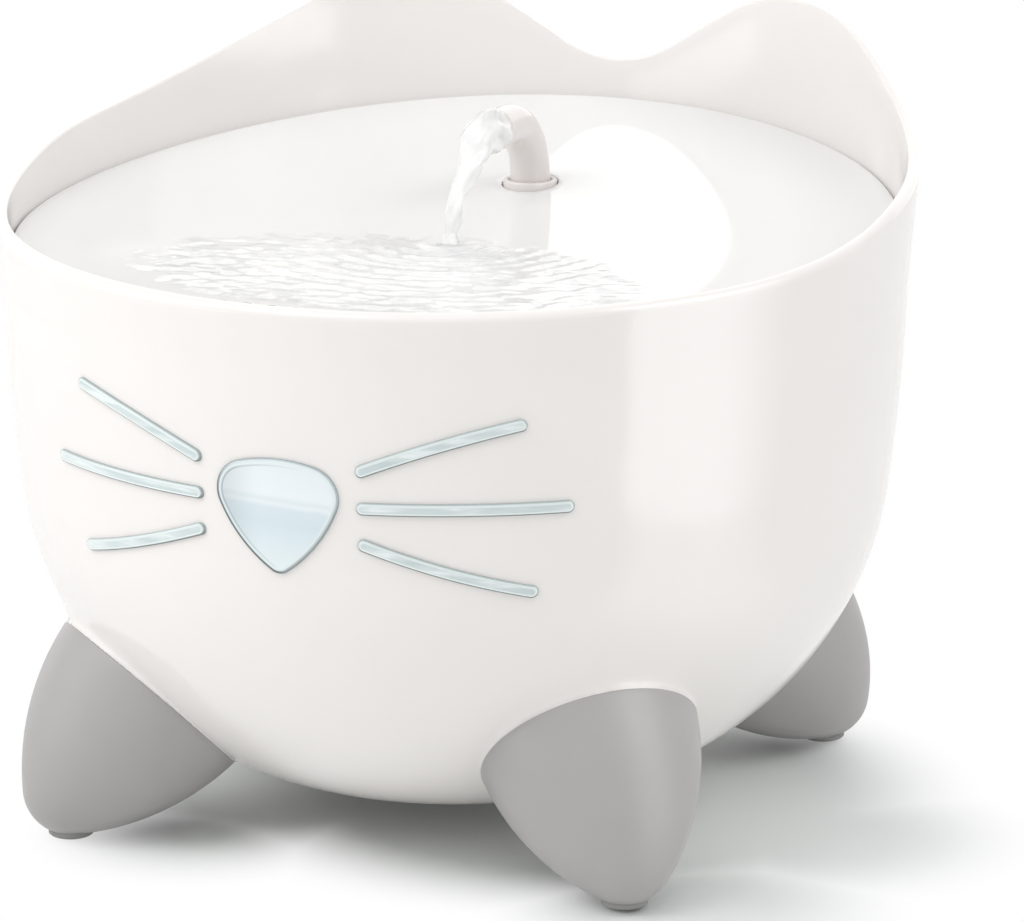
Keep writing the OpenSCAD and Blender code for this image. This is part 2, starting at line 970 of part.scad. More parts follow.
// everything that lies under the tray's plate, a little into it
module under_dish() {
    difference() {
        box([-130, -130, 100], [130, 130, 175]);
        dish_cutter(tray_t / 2);
    }
}

module spout() {
    color([0.95, 0.94, 0.93])
        translate([0, spout_y, 0])
            difference() {
                union() {
                    translate([0, 0, stem_bottom])
                        cylinder(h = collar_top - stem_bottom, r = stem_r);
                    translate([0, 0, spout_z - 2.2])
                        cylinder(h = collar_top - spout_z + 2.2, r = collar_r);
                    bend(spout_r);
                }
                bend(spout_r - 1.5);
                translate([0, 0, stem_bottom - 1])
                    cylinder(h = collar_top - stem_bottom + 1.01, r = stem_bore);
                // groove of the seal
                translate([0, 0, ring_z - 1.1])
                    difference() {
                        cylinder(h = 2.2, r = 10);
                        translate([0, 0, -1])
                            cylinder(h = 5, r = stem_r - 2 * ring_r);
                    }
            }
}

// quarter turn forward, then a short straight run
module bend(r) {
    translate([0, -spout_bend, collar_top])
        rotate([90, 0, 90])
            rotate_extrude(angle = 90, $fn = 180)
                translate([spout_bend, 0])
                    circle(r = r);
    translate([0, -spout_bend + eps, collar_top + spout_bend])
        rotate([90, 0, 0])
            cylinder(h = spout_reach + (r < spout_r ? 1 : 0), r = r);
}

module spout_o_ring() {
    color([0.15, 0.15, 0.15])
        translate([0, spout_y, ring_z])
            rotate_extrude()
                translate([stem_r - ring_r, 0])
                    circle(r = ring_r, $fn = 48);
}

// ---- filter ----

module filter_basket() {
    color([0.9, 0.9, 0.9])
        difference() {
            union() {
                box([-basket_half, basket_front_y, basket_z], [basket_half, basket_back_y, frame_z + 3]);
                box([-basket_half - 2, basket_front_y - 2, frame_z - 1.6],
                    [basket_half + 2, basket_back_y + 2, frame_z]);
            }
            box([-basket_half + basket_t, basket_front_y + basket_t, basket_z + 1.6],
                [basket_half - basket_t, basket_back_y - basket_t, 150]);
            for (k = [-7 : 7])
                box([k * 5 - 1.5, basket_front_y + 4, basket_z - 1],
                    [k * 5 + 1.5, basket_back_y - 4, basket_z + 3]);
        }
}

cart_x = basket_half - basket_t - 0.3;
cart_y0 = basket_front_y + basket_t + 0.3;
cart_y1 = basket_back_y - basket_t - 0.3;
cart_z = basket_z + 1.6;

module cartridge_frame() {
    color([0.93, 0.93, 0.93])
        difference() {
            box([-cart_x, cart_y0, cart_z], [cart_x, cart_y1, cart_z + 14]);
            box([-cart_x + 1.4, cart_y0 + 1.4, cart_z + 1.2], [cart_x - 1.4, cart_y1 - 1.4, 150]);
            for (k = [-5 : 5])
                box([k * 6.6 - 2, cart_y0 + 4, cart_z - 1], [k * 6.6 + 2, cart_y1 - 4, cart_z + 3]);
        }
}

module carbon_bed() {
    color([0.1, 0.1, 0.1])
        box([-cart_x + 1.4, cart_y0 + 1.4, cart_z + 1.2], [cart_x - 1.4, cart_y1 - 1.4, cart_z + 7.2]);
}

module filter_fleece() {
    color([0.92, 0.93, 0.95])
        box([-cart_x + 1.4, cart_y0 + 1.4, cart_z + 7.2], [cart_x - 1.4, cart_y1 - 1.4, cart_z + 12.6]);
}

// ---- draw ----

outer_shell();
nose_window();
whisker_right_upper();
whisker_right_middle();
whisker_right_lower();
whisker_left_upper();
whisker_left_middle();
whisker_left_lower();
foot_front_left();
foot_front_right();
foot_rear_left();
foot_rear_right();
foot_pads();
foot_screws();
cable_grommet();
pump_body();
pump_potting();
stator_core();
stator_coil();
pump_cable_gland();
pump_cover();
flow_dial();
impeller();
rotor_magnet();
rotor_shaft();
shaft_bushings();
suction_cups();
riser_tube();
drinking_tray();
filter_basket();
cartridge_frame();
filter_fleece();
carbon_bed();
spout();
spout_o_ring();
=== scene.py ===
import math

import bpy
import numpy as np
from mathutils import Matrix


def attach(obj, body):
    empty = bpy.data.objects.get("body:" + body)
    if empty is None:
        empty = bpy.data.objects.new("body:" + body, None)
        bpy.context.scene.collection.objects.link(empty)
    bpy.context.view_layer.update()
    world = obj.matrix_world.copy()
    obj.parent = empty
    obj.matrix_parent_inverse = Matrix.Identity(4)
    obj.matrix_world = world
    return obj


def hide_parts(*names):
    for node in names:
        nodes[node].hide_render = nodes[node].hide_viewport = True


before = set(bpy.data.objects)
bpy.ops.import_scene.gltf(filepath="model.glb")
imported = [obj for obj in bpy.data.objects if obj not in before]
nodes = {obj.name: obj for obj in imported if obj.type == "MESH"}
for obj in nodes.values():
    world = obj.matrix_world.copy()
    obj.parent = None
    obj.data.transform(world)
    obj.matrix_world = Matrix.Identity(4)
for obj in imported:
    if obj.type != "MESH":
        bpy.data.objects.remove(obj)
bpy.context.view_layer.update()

# ---- Camera and studio ----
# The camera stands a little above the fountain and to the right of its front. The floor is a
# plain pale sheet in a white room. Soft boxes light it from the left, from in front, from the
# right side and from above.
MM = 0.001

camera_data = bpy.data.cameras.new("camera")
camera = bpy.data.objects.new("camera", camera_data)
bpy.context.scene.collection.objects.link(camera)
bpy.context.scene.camera = camera
camera.location = (0.5506, -1.3439, 0.4600)
camera.rotation_euler = (math.radians(75.57), 0, math.radians(21.72))
camera_data.lens = 208.1
camera_data.sensor_width = 36
camera_data.clip_start = 0.01
bpy.context.scene.view_settings.view_transform = "Standard"


def soft_box(name, azimuth, height, distance, size, power, aim=(0, 0, 0.09)):
    """an area lamp, azimuth counted from the front toward the right, aimed at a point"""
    data = bpy.data.lights.new(name, "AREA")
    data.shape = "RECTANGLE"
    data.size, data.size_y = size
    data.energy = power
    lamp = bpy.data.objects.new(name, data)
    bpy.context.scene.collection.objects.link(lamp)
    turn, lift = math.radians(azimuth), math.radians(height)
    place = np.array([math.sin(turn) * math.cos(lift), -math.cos(turn) * math.cos(lift),
                      math.sin(lift)]) * distance + np.array(aim)
    lamp.location = place
    look = np.array(aim) - place
    flat = math.hypot(look[0], look[1])
    lamp.rotation_euler = (math.atan2(flat, -look[2]), 0, math.atan2(-look[0], look[1]))


# name, azimuth and height in degrees, distance, size, power
for lamp_values in (("key_box", -62, 27, 1.3, (0.8, 0.8), 2.3),
                    ("key_high_box", -34, 50, 1.5, (0.9, 0.9), 5.9),
                    ("front_high_box", 15, 54, 1.5, (0.9, 0.9), 1.4),
                    ("fill_box", 96, 44, 1.6, (0.9, 0.7), 5.4),
                    ("top_box", 160, 70, 1.4, (1.3, 1.3), 0.9)):
    soft_box(*lamp_values)
soft_box("low_left_box", -48, 5, 0.7, (0.5, 0.12), 0.3, aim=(0, 0, 0.04))


def put(tree, socket, value):
    """a value set on an input, or another node's output linked to it"""
    if isinstance(value, bpy.types.NodeSocket):
        tree.links.new(value, socket)
    else:
        socket.default_value = value


def add_node(tree, kind, **values):
    """a shader node, with its properties and its inputs given by name"""
    node = tree.nodes.new(kind)
    for key, value in values.items():
        if hasattr(node, key):
            setattr(node, key, value)
        else:
            put(tree, node.inputs[key.replace("_", " ")], value)
    return node


def worked_out(tree, operation, *terms, kind="ShaderNodeMath"):
    """a Math or Vector Math node over numbers and other outputs"""
    node = add_node(tree, kind, operation=operation)
    for socket, term in zip(node.inputs, terms):
        put(tree, socket, term)
    return node.outputs["Value" if kind == "ShaderNodeMath" or operation == "LENGTH" else "Vector"]


def ranged(tree, value, low, high, to_low=0.0, to_high=1.0, kind="LINEAR"):
    """a value whose range from low to high becomes another range"""
    node = add_node(tree, "ShaderNodeMapRange", interpolation_type=kind, Value=value,
                    From_Min=low, From_Max=high, To_Min=to_low, To_Max=to_high)
    return node.outputs["Result"]


def ramp_of(tree, stops, source):
    """a colour ramp through (position, colour) stops"""
    ramp = add_node(tree, "ShaderNodeValToRGB", Fac=source)
    elements = ramp.color_ramp.elements
    while len(elements) < len(stops):
        elements.new(0.5)
    for element, (position, colour) in zip(elements, stops):
        element.position = position
        element.color = (*colour, 1)
    return ramp.outputs["Color"]


def new_material(name):
    """a material, its node tree and its main shader"""
    mat = bpy.data.materials.new(name)
    mat.use_nodes = True
    return mat, mat.node_tree, mat.node_tree.nodes["Principled BSDF"]


def glow_panel(name, place, turn, size, strength, falls):
    """a clear panel whose glow only shows as a streak in glossy surfaces

    falls holds soft edges: an axis, where the glow is nil and where it is full
    """
    bpy.ops.object.select_all(action="DESELECT")
    bpy.ops.mesh.primitive_plane_add(size=2, location=place, rotation=turn)
    panel = bpy.context.active_object
    panel.name = name
    panel.scale = (size[0] / 2, size[1] / 2, 1)
    mat, tree, bsdf = new_material(name)
    tree.nodes.remove(bsdf)
    spot = add_node(tree, "ShaderNodeTexCoord")
    axes = add_node(tree, "ShaderNodeSeparateXYZ", Vector=spot.outputs["Object"])
    power = strength
    for axis, low, high in falls:
        fall = ranged(tree, axes.outputs[axis], low, high, kind="SMOOTHSTEP")
        power = worked_out(tree, "MULTIPLY", fall, power)
    glow = add_node(tree, "ShaderNodeEmission", Strength=power)
    clear = add_node(tree, "ShaderNodeBsdfTransparent")
    both = add_node(tree, "ShaderNodeAddShader")
    tree.links.new(glow.outputs[0], both.inputs[0])
    tree.links.new(clear.outputs[0], both.inputs[1])
    tree.links.new(both.outputs[0], tree.nodes["Material Output"].inputs["Surface"])
    panel.data.materials.append(mat)
    panel.visible_camera = False
    panel.visible_diffuse = False
    panel.visible_transmission = False
    panel.visible_shadow = False


def round_the_tank(azimuth, distance, height):
    """a place at an azimuth from the front toward the right"""
    return distance * math.sin(azimuth), -distance * math.cos(azimuth), height


# the tall streak on the tank's right side, and its lower end on the floor
BAND_TURN = math.radians(79)
glow_panel("band_panel", round_the_tank(BAND_TURN, 0.30, 0.27), (math.pi / 2, 0, BAND_TURN),
           (0.24, 0.54), 2.7, (("X", -1, -0.85), ("X", 1, -0.1), ("Y", 1, 0.5)))
glow_panel("band_floor", round_the_tank(BAND_TURN, 0.21, 0.001), (0, 0, BAND_TURN),
           (0.20, 0.18), 1.0, (("X", -1, -0.8), ("X", 1, 0.0), ("Y", 1, 0.0)))

# the bright backdrop that the dish and the water mirror
REAR_TURN = math.radians(-158)
glow_panel("rear_panel", round_the_tank(REAR_TURN, 0.8, 0.52), (math.pi / 2, 0, REAR_TURN),
           (2.6, 0.96), 0.6, (("X", -1, -0.8), ("X", 1, 0.8), ("Y", 1, 0.5)))

# the room is white where it is seen directly, in gloss or through water, and gives a plainer
# light to what has already met a matt surface
ROOM_LIGHT = 0.63
world = bpy.data.worlds.new("studio")
bpy.context.scene.world = world
world.use_nodes = True
tree = world.node_tree
tree.nodes.clear()
path = add_node(tree, "ShaderNodeLightPath")
shown = worked_out(tree, "MAXIMUM", path.outputs["Is Camera Ray"], path.outputs["Is Glossy Ray"])
shown = worked_out(tree, "MAXIMUM", shown, path.outputs["Is Transmission Ray"])
direct = worked_out(tree, "LESS_THAN", path.outputs["Diffuse Depth"], 0.5)
level = ranged(tree, worked_out(tree, "MULTIPLY", direct, shown), 0.0, 1.0, ROOM_LIGHT, 1.0)
back = add_node(tree, "ShaderNodeBackground", Color=(1, 1, 1, 1), Strength=level)
add_node(tree, "ShaderNodeOutputWorld", Surface=back.outputs[0])


def two_shaders(tree, share, first, second):
    """the first shader where the share is 0 and the second where it is 1"""
    mix = add_node(tree, "ShaderNodeMixShader", Fac=share)
    tree.links.new(first.outputs[0], mix.inputs[1])
    tree.links.new(second.outputs[0], mix.inputs[2])
    tree.links.new(mix.outputs[0], tree.nodes["Material Output"].inputs["Surface"])
    return mix


FLOOR_HALF = 4.0
FLOOR_COLOUR = (0.92, 0.935, 0.93)
# painted shade: a darker colour of the sheet that only the camera sees, to deepen the fountain's
# shadow
FLOOR_SEEN_SHADED = (0.74, 0.77, 0.76)
FADE_WIDTH = 0.043
# x, y and radius of the parts of the sheet that keep the fountain's shadow
SHADOW_SPOTS = ((0.032, 0.008, 0.062), (-0.046, -0.058, 0.004), (0.09, -0.066, 0.014),
                (-0.04, -0.018, 0.026), (0.1, -0.005, 0.015))
bpy.ops.object.select_all(action="DESELECT")
bpy.ops.mesh.primitive_plane_add(size=2 * FLOOR_HALF, location=(0, 0, -0.0002))
floor = bpy.context.active_object
floor.name = "studio_floor"
mat, tree, bsdf = new_material("floor_sheet")
bsdf.inputs["Roughness"].default_value = 0.6
bsdf.inputs["Specular IOR Level"].default_value = 0.2
# far from the fountain the sheet fades into plain white, for the camera and for reflections
spot = add_node(tree, "ShaderNodeTexCoord")
past = None
for spot_x, spot_y, keep in SHADOW_SPOTS:
    shift = worked_out(tree, "SUBTRACT", spot.outputs["Object"], (spot_x, spot_y, 0.0),
                       kind="ShaderNodeVectorMath")
    far = worked_out(tree, "LENGTH", shift, kind="ShaderNodeVectorMath")
    over = worked_out(tree, "SUBTRACT", far, keep)
    past = over if past is None else worked_out(tree, "MINIMUM", past, over)
path = add_node(tree, "ShaderNodeLightPath")
# painted shade: the camera sees the sheet in a darker colour than the one it bounces light with,
# which deepens the fountain's shadow near it
put(tree, bsdf.inputs["Base Color"],
    ramp_of(tree, [(0.0, FLOOR_COLOUR), (1.0, FLOOR_SEEN_SHADED)], path.outputs["Is Camera Ray"]))
seen = worked_out(tree, "MAXIMUM", path.outputs["Is Camera Ray"], path.outputs["Is Glossy Ray"])
fade = ranged(tree, past, 0.0, FADE_WIDTH, kind="SMOOTHSTEP")
two_shaders(tree, worked_out(tree, "MULTIPLY", seen, fade), bsdf,
            add_node(tree, "ShaderNodeEmission"))
floor.data.materials.append(mat)

# ---- Tank shell ----
# The tank is one injection moulding in glossy white ABS: a round bowl with a flaring wall that
# rises into two ears at the back, a swollen hip over each foot, and a ledge for the tray inside.
SKIN = 0.04
WALL = 3.2
BOTTOM_Z = 8.0
FLAT_R = 30.4
HEEL_R = 66.6
BELLY_R = 88.05
SIDE_R = 494.85
HEEL_TURN = math.atan2(-12, 5)
BELLY_TURN = math.atan2(-15, 112)
FLARE_Z = 135.0
FLARE = math.tan(math.radians(4.86))
LEDGE_Z = 128.0
LEDGE_W = 4.5
MOULD_TOP = 200.0


def arc_after(arc, turn, r):
    """an arc of radius r that goes on smoothly where another one ends"""
    grow = r - arc[2]
    return arc[0] - grow * math.cos(turn), arc[1] - grow * math.sin(turn), r


# centre distance from the axis, centre height and radius of each arc of the outline
HEEL = (FLAT_R, BOTTOM_Z + HEEL_R, HEEL_R)
BELLY = arc_after(HEEL, HEEL_TURN, BELLY_R)
SIDE = arc_after(BELLY, BELLY_TURN, SIDE_R)


def wall_r(z, depth=0.0):
    """radius of the tank's wall at height z, a given depth under its outside"""
    if z <= HEEL[1] + (HEEL[2] - depth) * math.sin(HEEL_TURN):
        return HEEL[0] + math.sqrt(max(0, (HEEL[2] - depth) ** 2 - (z - HEEL[1]) ** 2))
    if z <= BELLY[1] + (BELLY[2] - depth) * math.sin(BELLY_TURN):
        return BELLY[0] + math.sqrt((BELLY[2] - depth) ** 2 - (z - BELLY[1]) ** 2)
    low = min(z, FLARE_Z)
    r = SIDE[0] + math.sqrt((SIDE[2] - depth) ** 2 - (low - SIDE[1]) ** 2)
    return r + (z - low) * FLARE


def shell_line(depth, z_end, steps=12):
    """points of the shell's outline from the axis up to z_end"""
    points = [(r, BOTTOM_Z + depth) for r in (0, 16, FLAT_R)]
    side_end = math.asin((FLARE_Z - SIDE[1]) / (SIDE[2] - depth))
    for circle, a0, a1, count in ((HEEL, -math.pi / 2, HEEL_TURN, 7),
                                  (BELLY, HEEL_TURN, BELLY_TURN, 46),
                                  (SIDE, BELLY_TURN, side_end, 16)):
        for k in range(1, count + 1):
            a = a0 + (a1 - a0) * k / count
            points.append((circle[0] + (circle[2] - depth) * math.cos(a),
                           circle[1] + (circle[2] - depth) * math.sin(a)))
    points = [p for p in points if p[1] < z_end - 0.5]
    z0 = max(points[-1][1], 0)
    for k in range(1, steps + 1):
        z = z0 + (z_end - z0) * k / steps
        points.append((wall_r(z, depth), z))
    return points


def select_only(obj):
    """an object selected on its own, and active"""
    bpy.ops.object.select_all(action="DESELECT")
    obj.select_set(True)
    bpy.context.view_layer.objects.active = obj


def fresh(name, points, edges=(), faces=()):
    """a new mesh object from points in millimetres, selected and active"""
    mesh = bpy.data.meshes.new(name)
    mesh.from_pydata([[c * MM for c in p] for p in points], edges, faces)
    obj = bpy.data.objects.new(name, mesh)
    bpy.context.scene.collection.objects.link(obj)
    select_only(obj)
    return obj


MERGE = 0.002


def close_up(obj):
    """doubles merged, normals outward, smooth"""
    select_only(obj)
    bpy.ops.object.mode_set(mode="EDIT")
    bpy.ops.mesh.select_all(action="SELECT")
    bpy.ops.mesh.remove_doubles(threshold=MERGE * MM)
    bpy.ops.mesh.normals_make_consistent(inside=False)
    bpy.ops.object.mode_set(mode="OBJECT")
    bpy.ops.object.shade_smooth()
    return obj


def turned(name, outline, steps):
    """a closed outline of (radius, height) points spun round the Z axis"""
    count = len(outline)
    obj = fresh(name, [(r, 0, z) for r, z in outline], [(i, i + 1) for i in range(count - 1)])
    bpy.ops.object.mode_set(mode="EDIT")
    bpy.ops.mesh.select_all(action="SELECT")
    bpy.ops.mesh.spin(steps=steps, angle=2 * math.pi, center=(0, 0, 0), axis=(0, 0, 1))
    bpy.ops.object.mode_set(mode="OBJECT")
    return close_up(obj)


def points_of(obj):
    """an object's points in millimetres"""
    co = np.empty(len(obj.data.vertices) * 3)
    obj.data.vertices.foreach_get("co", co)
    return co.reshape(-1, 3) / MM


def set_points(obj, co):
    """an object's points moved to places in millimetres"""
    obj.data.vertices.foreach_set("co", (co * MM).astype(np.float32).ravel())
    obj.data.update()


def apply_modifier(obj, kind, **values):
    """a modifier added with these values and applied"""
    select_only(obj)
    modifier = obj.modifiers.new(kind.lower(), kind)
    for key, value in values.items():
        setattr(modifier, key, value)
    bpy.ops.object.modifier_apply(modifier=modifier.name)


def join(main, *others):
    """several objects made one"""
    select_only(main)
    for other in others:
        other.select_set(True)
    bpy.ops.object.join()
    return main


def plastic(name, colour, rough, tone=0.015, patch=38, peel=0.03, peel_scale=260, grain=0.0,
            grain_scale=2600, specular=0.5, metallic=0.0, rough_range=0.05):
    """moulded or drawn material: uneven tone, uneven gloss, orange peel and fine grain"""
    mat, tree, bsdf = new_material(name)
    bsdf.inputs["Specular IOR Level"].default_value = specular
    bsdf.inputs["Metallic"].default_value = metallic
    place = add_node(tree, "ShaderNodeTexCoord").outputs["Object"]
    cloud = add_node(tree, "ShaderNodeTexNoise", Scale=patch, Detail=4.0, Vector=place)
    darker = [c * (1 - tone) for c in colour]
    paler = [min(1, c * (1 + tone)) for c in colour]
    put(tree, bsdf.inputs["Base Color"],
        ramp_of(tree, [(0.3, darker), (0.7, paler)], cloud.outputs["Fac"]))
    sheen = add_node(tree, "ShaderNodeTexNoise", Scale=patch * 3.1, Detail=3.0, Vector=place)
    put(tree, bsdf.inputs["Roughness"],
        ranged(tree, sheen.outputs["Fac"], 0.3, 0.7, max(0.02, rough - rough_range),
               rough + rough_range))
    skin = add_node(tree, "ShaderNodeTexNoise", Scale=peel_scale, Detail=2.0, Vector=place)
    last = add_node(tree, "ShaderNodeBump", Strength=peel, Distance=0.0002,
                    Height=skin.outputs["Fac"])
    if grain:
        fine = add_node(tree, "ShaderNodeTexNoise", Scale=grain_scale, Detail=3.0, Vector=place)
        last = add_node(tree, "ShaderNodeBump", Strength=grain, Distance=0.00008,
                        Height=fine.outputs["Fac"], Normal=last.outputs["Normal"])
    put(tree, bsdf.inputs["Normal"], last.outputs["Normal"])
    return mat


def dress(obj, mat):
    """a piece given its one material"""
    obj.data.materials.clear()
    obj.data.materials.append(mat)


# rim: a gentle line at the front, an arc that rises toward the back, and the ears' outline
RIM_CURVE_Y = -70.0
RIM_SLOPE = 0.03
RIM_CORNER_Z = 151.848
RIM_RISE = 420.0
RIM_C = (-82.594, 571.6)
EAR_C = np.array([56.0, 146.4])
EAR_R = 45.0
VALLEY_C = np.array([0.0, 200.0])
VALLEY_R = 30.0
EAR_OUT = math.radians(32)
RIM_BLEND = 2.4
ear_line = VALLEY_C - EAR_C
ear_turn = math.atan2(ear_line[1], ear_line[0]) - math.acos(
    (EAR_R + VALLEY_R) / np.linalg.norm(ear_line))
EAR_IN = EAR_C + EAR_R * np.array([math.cos(ear_turn), math.sin(ear_turn)])
VALLEY_IN = VALLEY_C - VALLEY_R * np.array([math.cos(ear_turn), math.sin(ear_turn)])
EAR_END = EAR_C + EAR_R * np.array([math.sin(EAR_OUT), math.cos(EAR_OUT)])


def rim_height(x, y):
    """height of the rim over a point of the wall"""
    if y < RIM_CURVE_Y:
        side = RIM_CORNER_Z + RIM_SLOPE * (y - RIM_CURVE_Y)
    else:
        side = RIM_C[1] - math.sqrt(RIM_RISE ** 2 - (y - RIM_C[0]) ** 2)
    x = abs(x)
    if y <= 0:
        return side
    left, right = sorted((VALLEY_IN[0], EAR_IN[0]))
    if x < VALLEY_IN[0]:
        ear = VALLEY_C[1] - math.sqrt(VALLEY_R ** 2 - x ** 2)
    elif x < EAR_IN[0]:
        share = (x - left) / (right - left)
        ear = VALLEY_IN[1] + (EAR_IN[1] - VALLEY_IN[1]) * share
    elif x < EAR_END[0]:
        ear = EAR_C[1] + math.sqrt(EAR_R ** 2 - (x - EAR_C[0]) ** 2)
    else:
        ear = EAR_END[1] - (x - EAR_END[0]) * math.tan(EAR_OUT)
    blend = max(0.0, RIM_BLEND - abs(side - ear)) / RIM_BLEND
    return min(side, ear) - blend * blend * RIM_BLEND / 4


def rim_at(angle):
    """height of the rim at an angle from +X, on the outside of the wall"""
    z = 160.0
    for _ in range(6):
        r = wall_r(z)
        z = rim_height(r * math.cos(angle), r * math.sin(angle))
    return z


LIP_OUT = 2.4
LIP_IN = 0.6
LEDGE_ROUND = 0.4
LEDGE_T = 1.6
LEDGE_BASE_Z = 121.9
outline = shell_line(SKIN, MOULD_TOP - LIP_OUT, 26)
for k in range(1, 9):
    a = math.pi / 2 * k / 8
    z = MOULD_TOP - LIP_OUT + LIP_OUT * math.sin(a)
    outline.append((wall_r(z, SKIN + LIP_OUT * (1 - math.cos(a))), z))
for k in range(0, 5):
    a = math.pi / 2 * k / 4
    z = MOULD_TOP - LIP_IN + LIP_IN * math.cos(a)
    outline.append((wall_r(z, WALL - LIP_IN + LIP_IN * math.sin(a)), z))
for k in range(1, 15):
    z = MOULD_TOP - LIP_IN + (LEDGE_Z - MOULD_TOP + LIP_IN) * k / 14
    outline.append((wall_r(z, WALL), z))
ledge_r = wall_r(LEDGE_Z, WALL) - LEDGE_W
outline += [(ledge_r + LEDGE_ROUND, LEDGE_Z), (ledge_r, LEDGE_Z - LEDGE_ROUND),
            (ledge_r, LEDGE_Z - LEDGE_T)]
inside = shell_line(WALL, LEDGE_BASE_Z, 6)
inside = inside[:-1:2] + inside[-1:]
outline += inside[::-1]
tank_shell = turned("tank_shell", outline, 360)

# the straight top is pulled down to the rim's wavy line, its rounded lip as it is
RIM_BASE = 130.0
LIP_ZONE = 4.0
co = points_of(tank_shell)
angle = np.arctan2(co[:, 1], co[:, 0])
radius = np.hypot(co[:, 0], co[:, 1])
rim_of = {}
for i in range(len(co)):
    z = co[i, 2]
    if z <= RIM_BASE:
        continue
    half_degrees = round(math.degrees(angle[i]) * 2)
    if half_degrees not in rim_of:
        rim_of[half_degrees] = rim_at(angle[i])
    rim = rim_of[half_degrees] - SKIN
    depth = wall_r(z) - radius[i]
    if z > MOULD_TOP - LIP_ZONE:
        z = z - MOULD_TOP + rim
    else:
        z = RIM_BASE + (z - RIM_BASE) * (rim - LIP_ZONE - RIM_BASE) / (
            MOULD_TOP - LIP_ZONE - RIM_BASE)
    r = wall_r(z) - depth
    co[i] = (r * math.cos(angle[i]), r * math.sin(angle[i]), z)
set_points(tank_shell, co)

# hips: the shell swells out to meet the mouth of each foot
FOOT_R = 83.0
FOOT_Z = 35.1
FOOT_LEAN = math.radians(44)
FOOT_TURNS = (-45, 225, 45, 135)
HIP_R = 27.2
HIP_INNER_R = 26.35
HIP_STEP_AT = -0.65
HIP_STEP_W = 0.25
HIP_TOP = 8.5
HIP_DOWN = 2.5
HIP_SOFT = 8.0
HIP_MOST = 12.0
HIP_REACH_Z = 100.0
SEAM_ALONG = 6.5
SEAM_ACROSS = 5.0


def foot_frame(turn):
    """origin and axes of a foot: x out and up, y across, z inward along the foot"""
    a = math.radians(turn)
    out_dir = np.array([math.cos(a), math.sin(a), 0])
    up = np.array([0, 0, 1.0])
    x_axis = out_dir * math.cos(FOOT_LEAN) + up * math.sin(FOOT_LEAN)
    y_axis = np.array([-math.sin(a), math.cos(a), 0])
    z_axis = -out_dir * math.sin(FOOT_LEAN) + up * math.cos(FOOT_LEAN)
    return out_dir * FOOT_R + up * FOOT_Z, x_axis, y_axis, z_axis


def by_foot(points, turn):
    """how far points lie along a foot's axis, and how far from it"""
    base, x_axis, y_axis, z_axis = foot_frame(turn)
    p = points - base
    return p @ z_axis, np.hypot(p @ x_axis, p @ y_axis)


# the faces along each foot's mouth are divided again, so that the seam is a clean line
select_only(tank_shell)
bpy.ops.object.mode_set(mode="EDIT")
bpy.ops.mesh.select_mode(type="FACE")
bpy.ops.mesh.select_all(action="DESELECT")
bpy.ops.object.mode_set(mode="OBJECT")
polygons = tank_shell.data.polygons
centres = np.empty(len(polygons) * 3)
polygons.foreach_get("center", centres)
centres = centres.reshape(-1, 3) / MM
chosen = np.zeros(len(centres), bool)
for turn in FOOT_TURNS:
    along, across = by_foot(centres, turn)
    chosen |= (np.abs(along) < SEAM_ALONG) & (np.abs(across - HIP_R) < SEAM_ACROSS)
reach = np.hypot(centres[:, 0], centres[:, 1])
chosen &= np.array([r > wall_r(max(z, BOTTOM_Z), WALL / 2) for r, z in zip(reach, centres[:, 2])])
polygons.foreach_set("select", chosen)
bpy.ops.object.mode_set(mode="EDIT")
bpy.ops.mesh.subdivide(number_cuts=2)
bpy.ops.mesh.select_mode(type="VERT")
bpy.ops.object.mode_set(mode="OBJECT")

# each point of the bowl's outside moves along its normal, out to the hip with a soft blend
co = points_of(tank_shell)
radius = np.hypot(co[:, 0], co[:, 1])
skin_r = np.array([wall_r(max(z, BOTTOM_Z), SKIN) for z in co[:, 2]])
outer = (np.abs(radius - skin_r) < 0.4) & (co[:, 2] > BOTTOM_Z + 0.5) & (co[:, 2] < HIP_REACH_Z)
index = np.nonzero(outer)[0]
low = co[index]
flat = np.hypot(low[:, 0], low[:, 1])
heel_top = HEEL[1] + HEEL_R * math.sin(HEEL_TURN)
belly_top = BELLY[1] + BELLY_R * math.sin(BELLY_TURN)
part = (low[:, 2] >= heel_top).astype(int) + (low[:, 2] > belly_top)
circles = np.array([HEEL, BELLY, SIDE])[part]
n_r, n_z = flat - circles[:, 0], low[:, 2] - circles[:, 1]
size = np.hypot(n_r, n_z)
normal = np.stack([n_r / size * low[:, 0] / flat, n_r / size * low[:, 1] / flat, n_z / size], 1)
push = np.zeros(len(low))
for turn in FOOT_TURNS:
    t = np.zeros(len(low))
    for _ in range(70):
        along, across = by_foot(low + normal * t[:, None], turn)
        step = np.clip((along - HIP_STEP_AT) / HIP_STEP_W, 0, 1)
        hip_r = HIP_INNER_R + (HIP_R - HIP_INNER_R) * step
        hip = np.maximum(across - hip_r, np.maximum(along - HIP_TOP, -along - HIP_DOWN))
        soft = 0.5 + (HIP_SOFT - 0.5) * np.clip(along / 5.0, 0, 1)
        h = np.maximum(soft - np.abs(t - hip), 0) / soft
        value = np.minimum(t, hip) - h * h * soft / 4
        t = np.clip(t - value * 0.8, 0, HIP_MOST)
    push = np.maximum(push, t)
co[index] = low + normal * push[:, None]
set_points(tank_shell, co)


def peg(radius, depth, place, turn=(0, 0, 0), bevel=0.0, sides=48):
    """a round peg at a place in millimetres, its edges rounded by the bevel"""
    bpy.ops.object.select_all(action="DESELECT")
    bpy.ops.mesh.primitive_cylinder_add(vertices=sides, radius=radius * MM, depth=depth * MM,
                                        location=[c * MM for c in place], rotation=turn)
    obj = bpy.context.active_object
    bpy.ops.object.transform_apply(location=True, rotation=True, scale=True)
    if bevel:
        apply_modifier(obj, "BEVEL", width=bevel * MM, segments=3)
    return obj


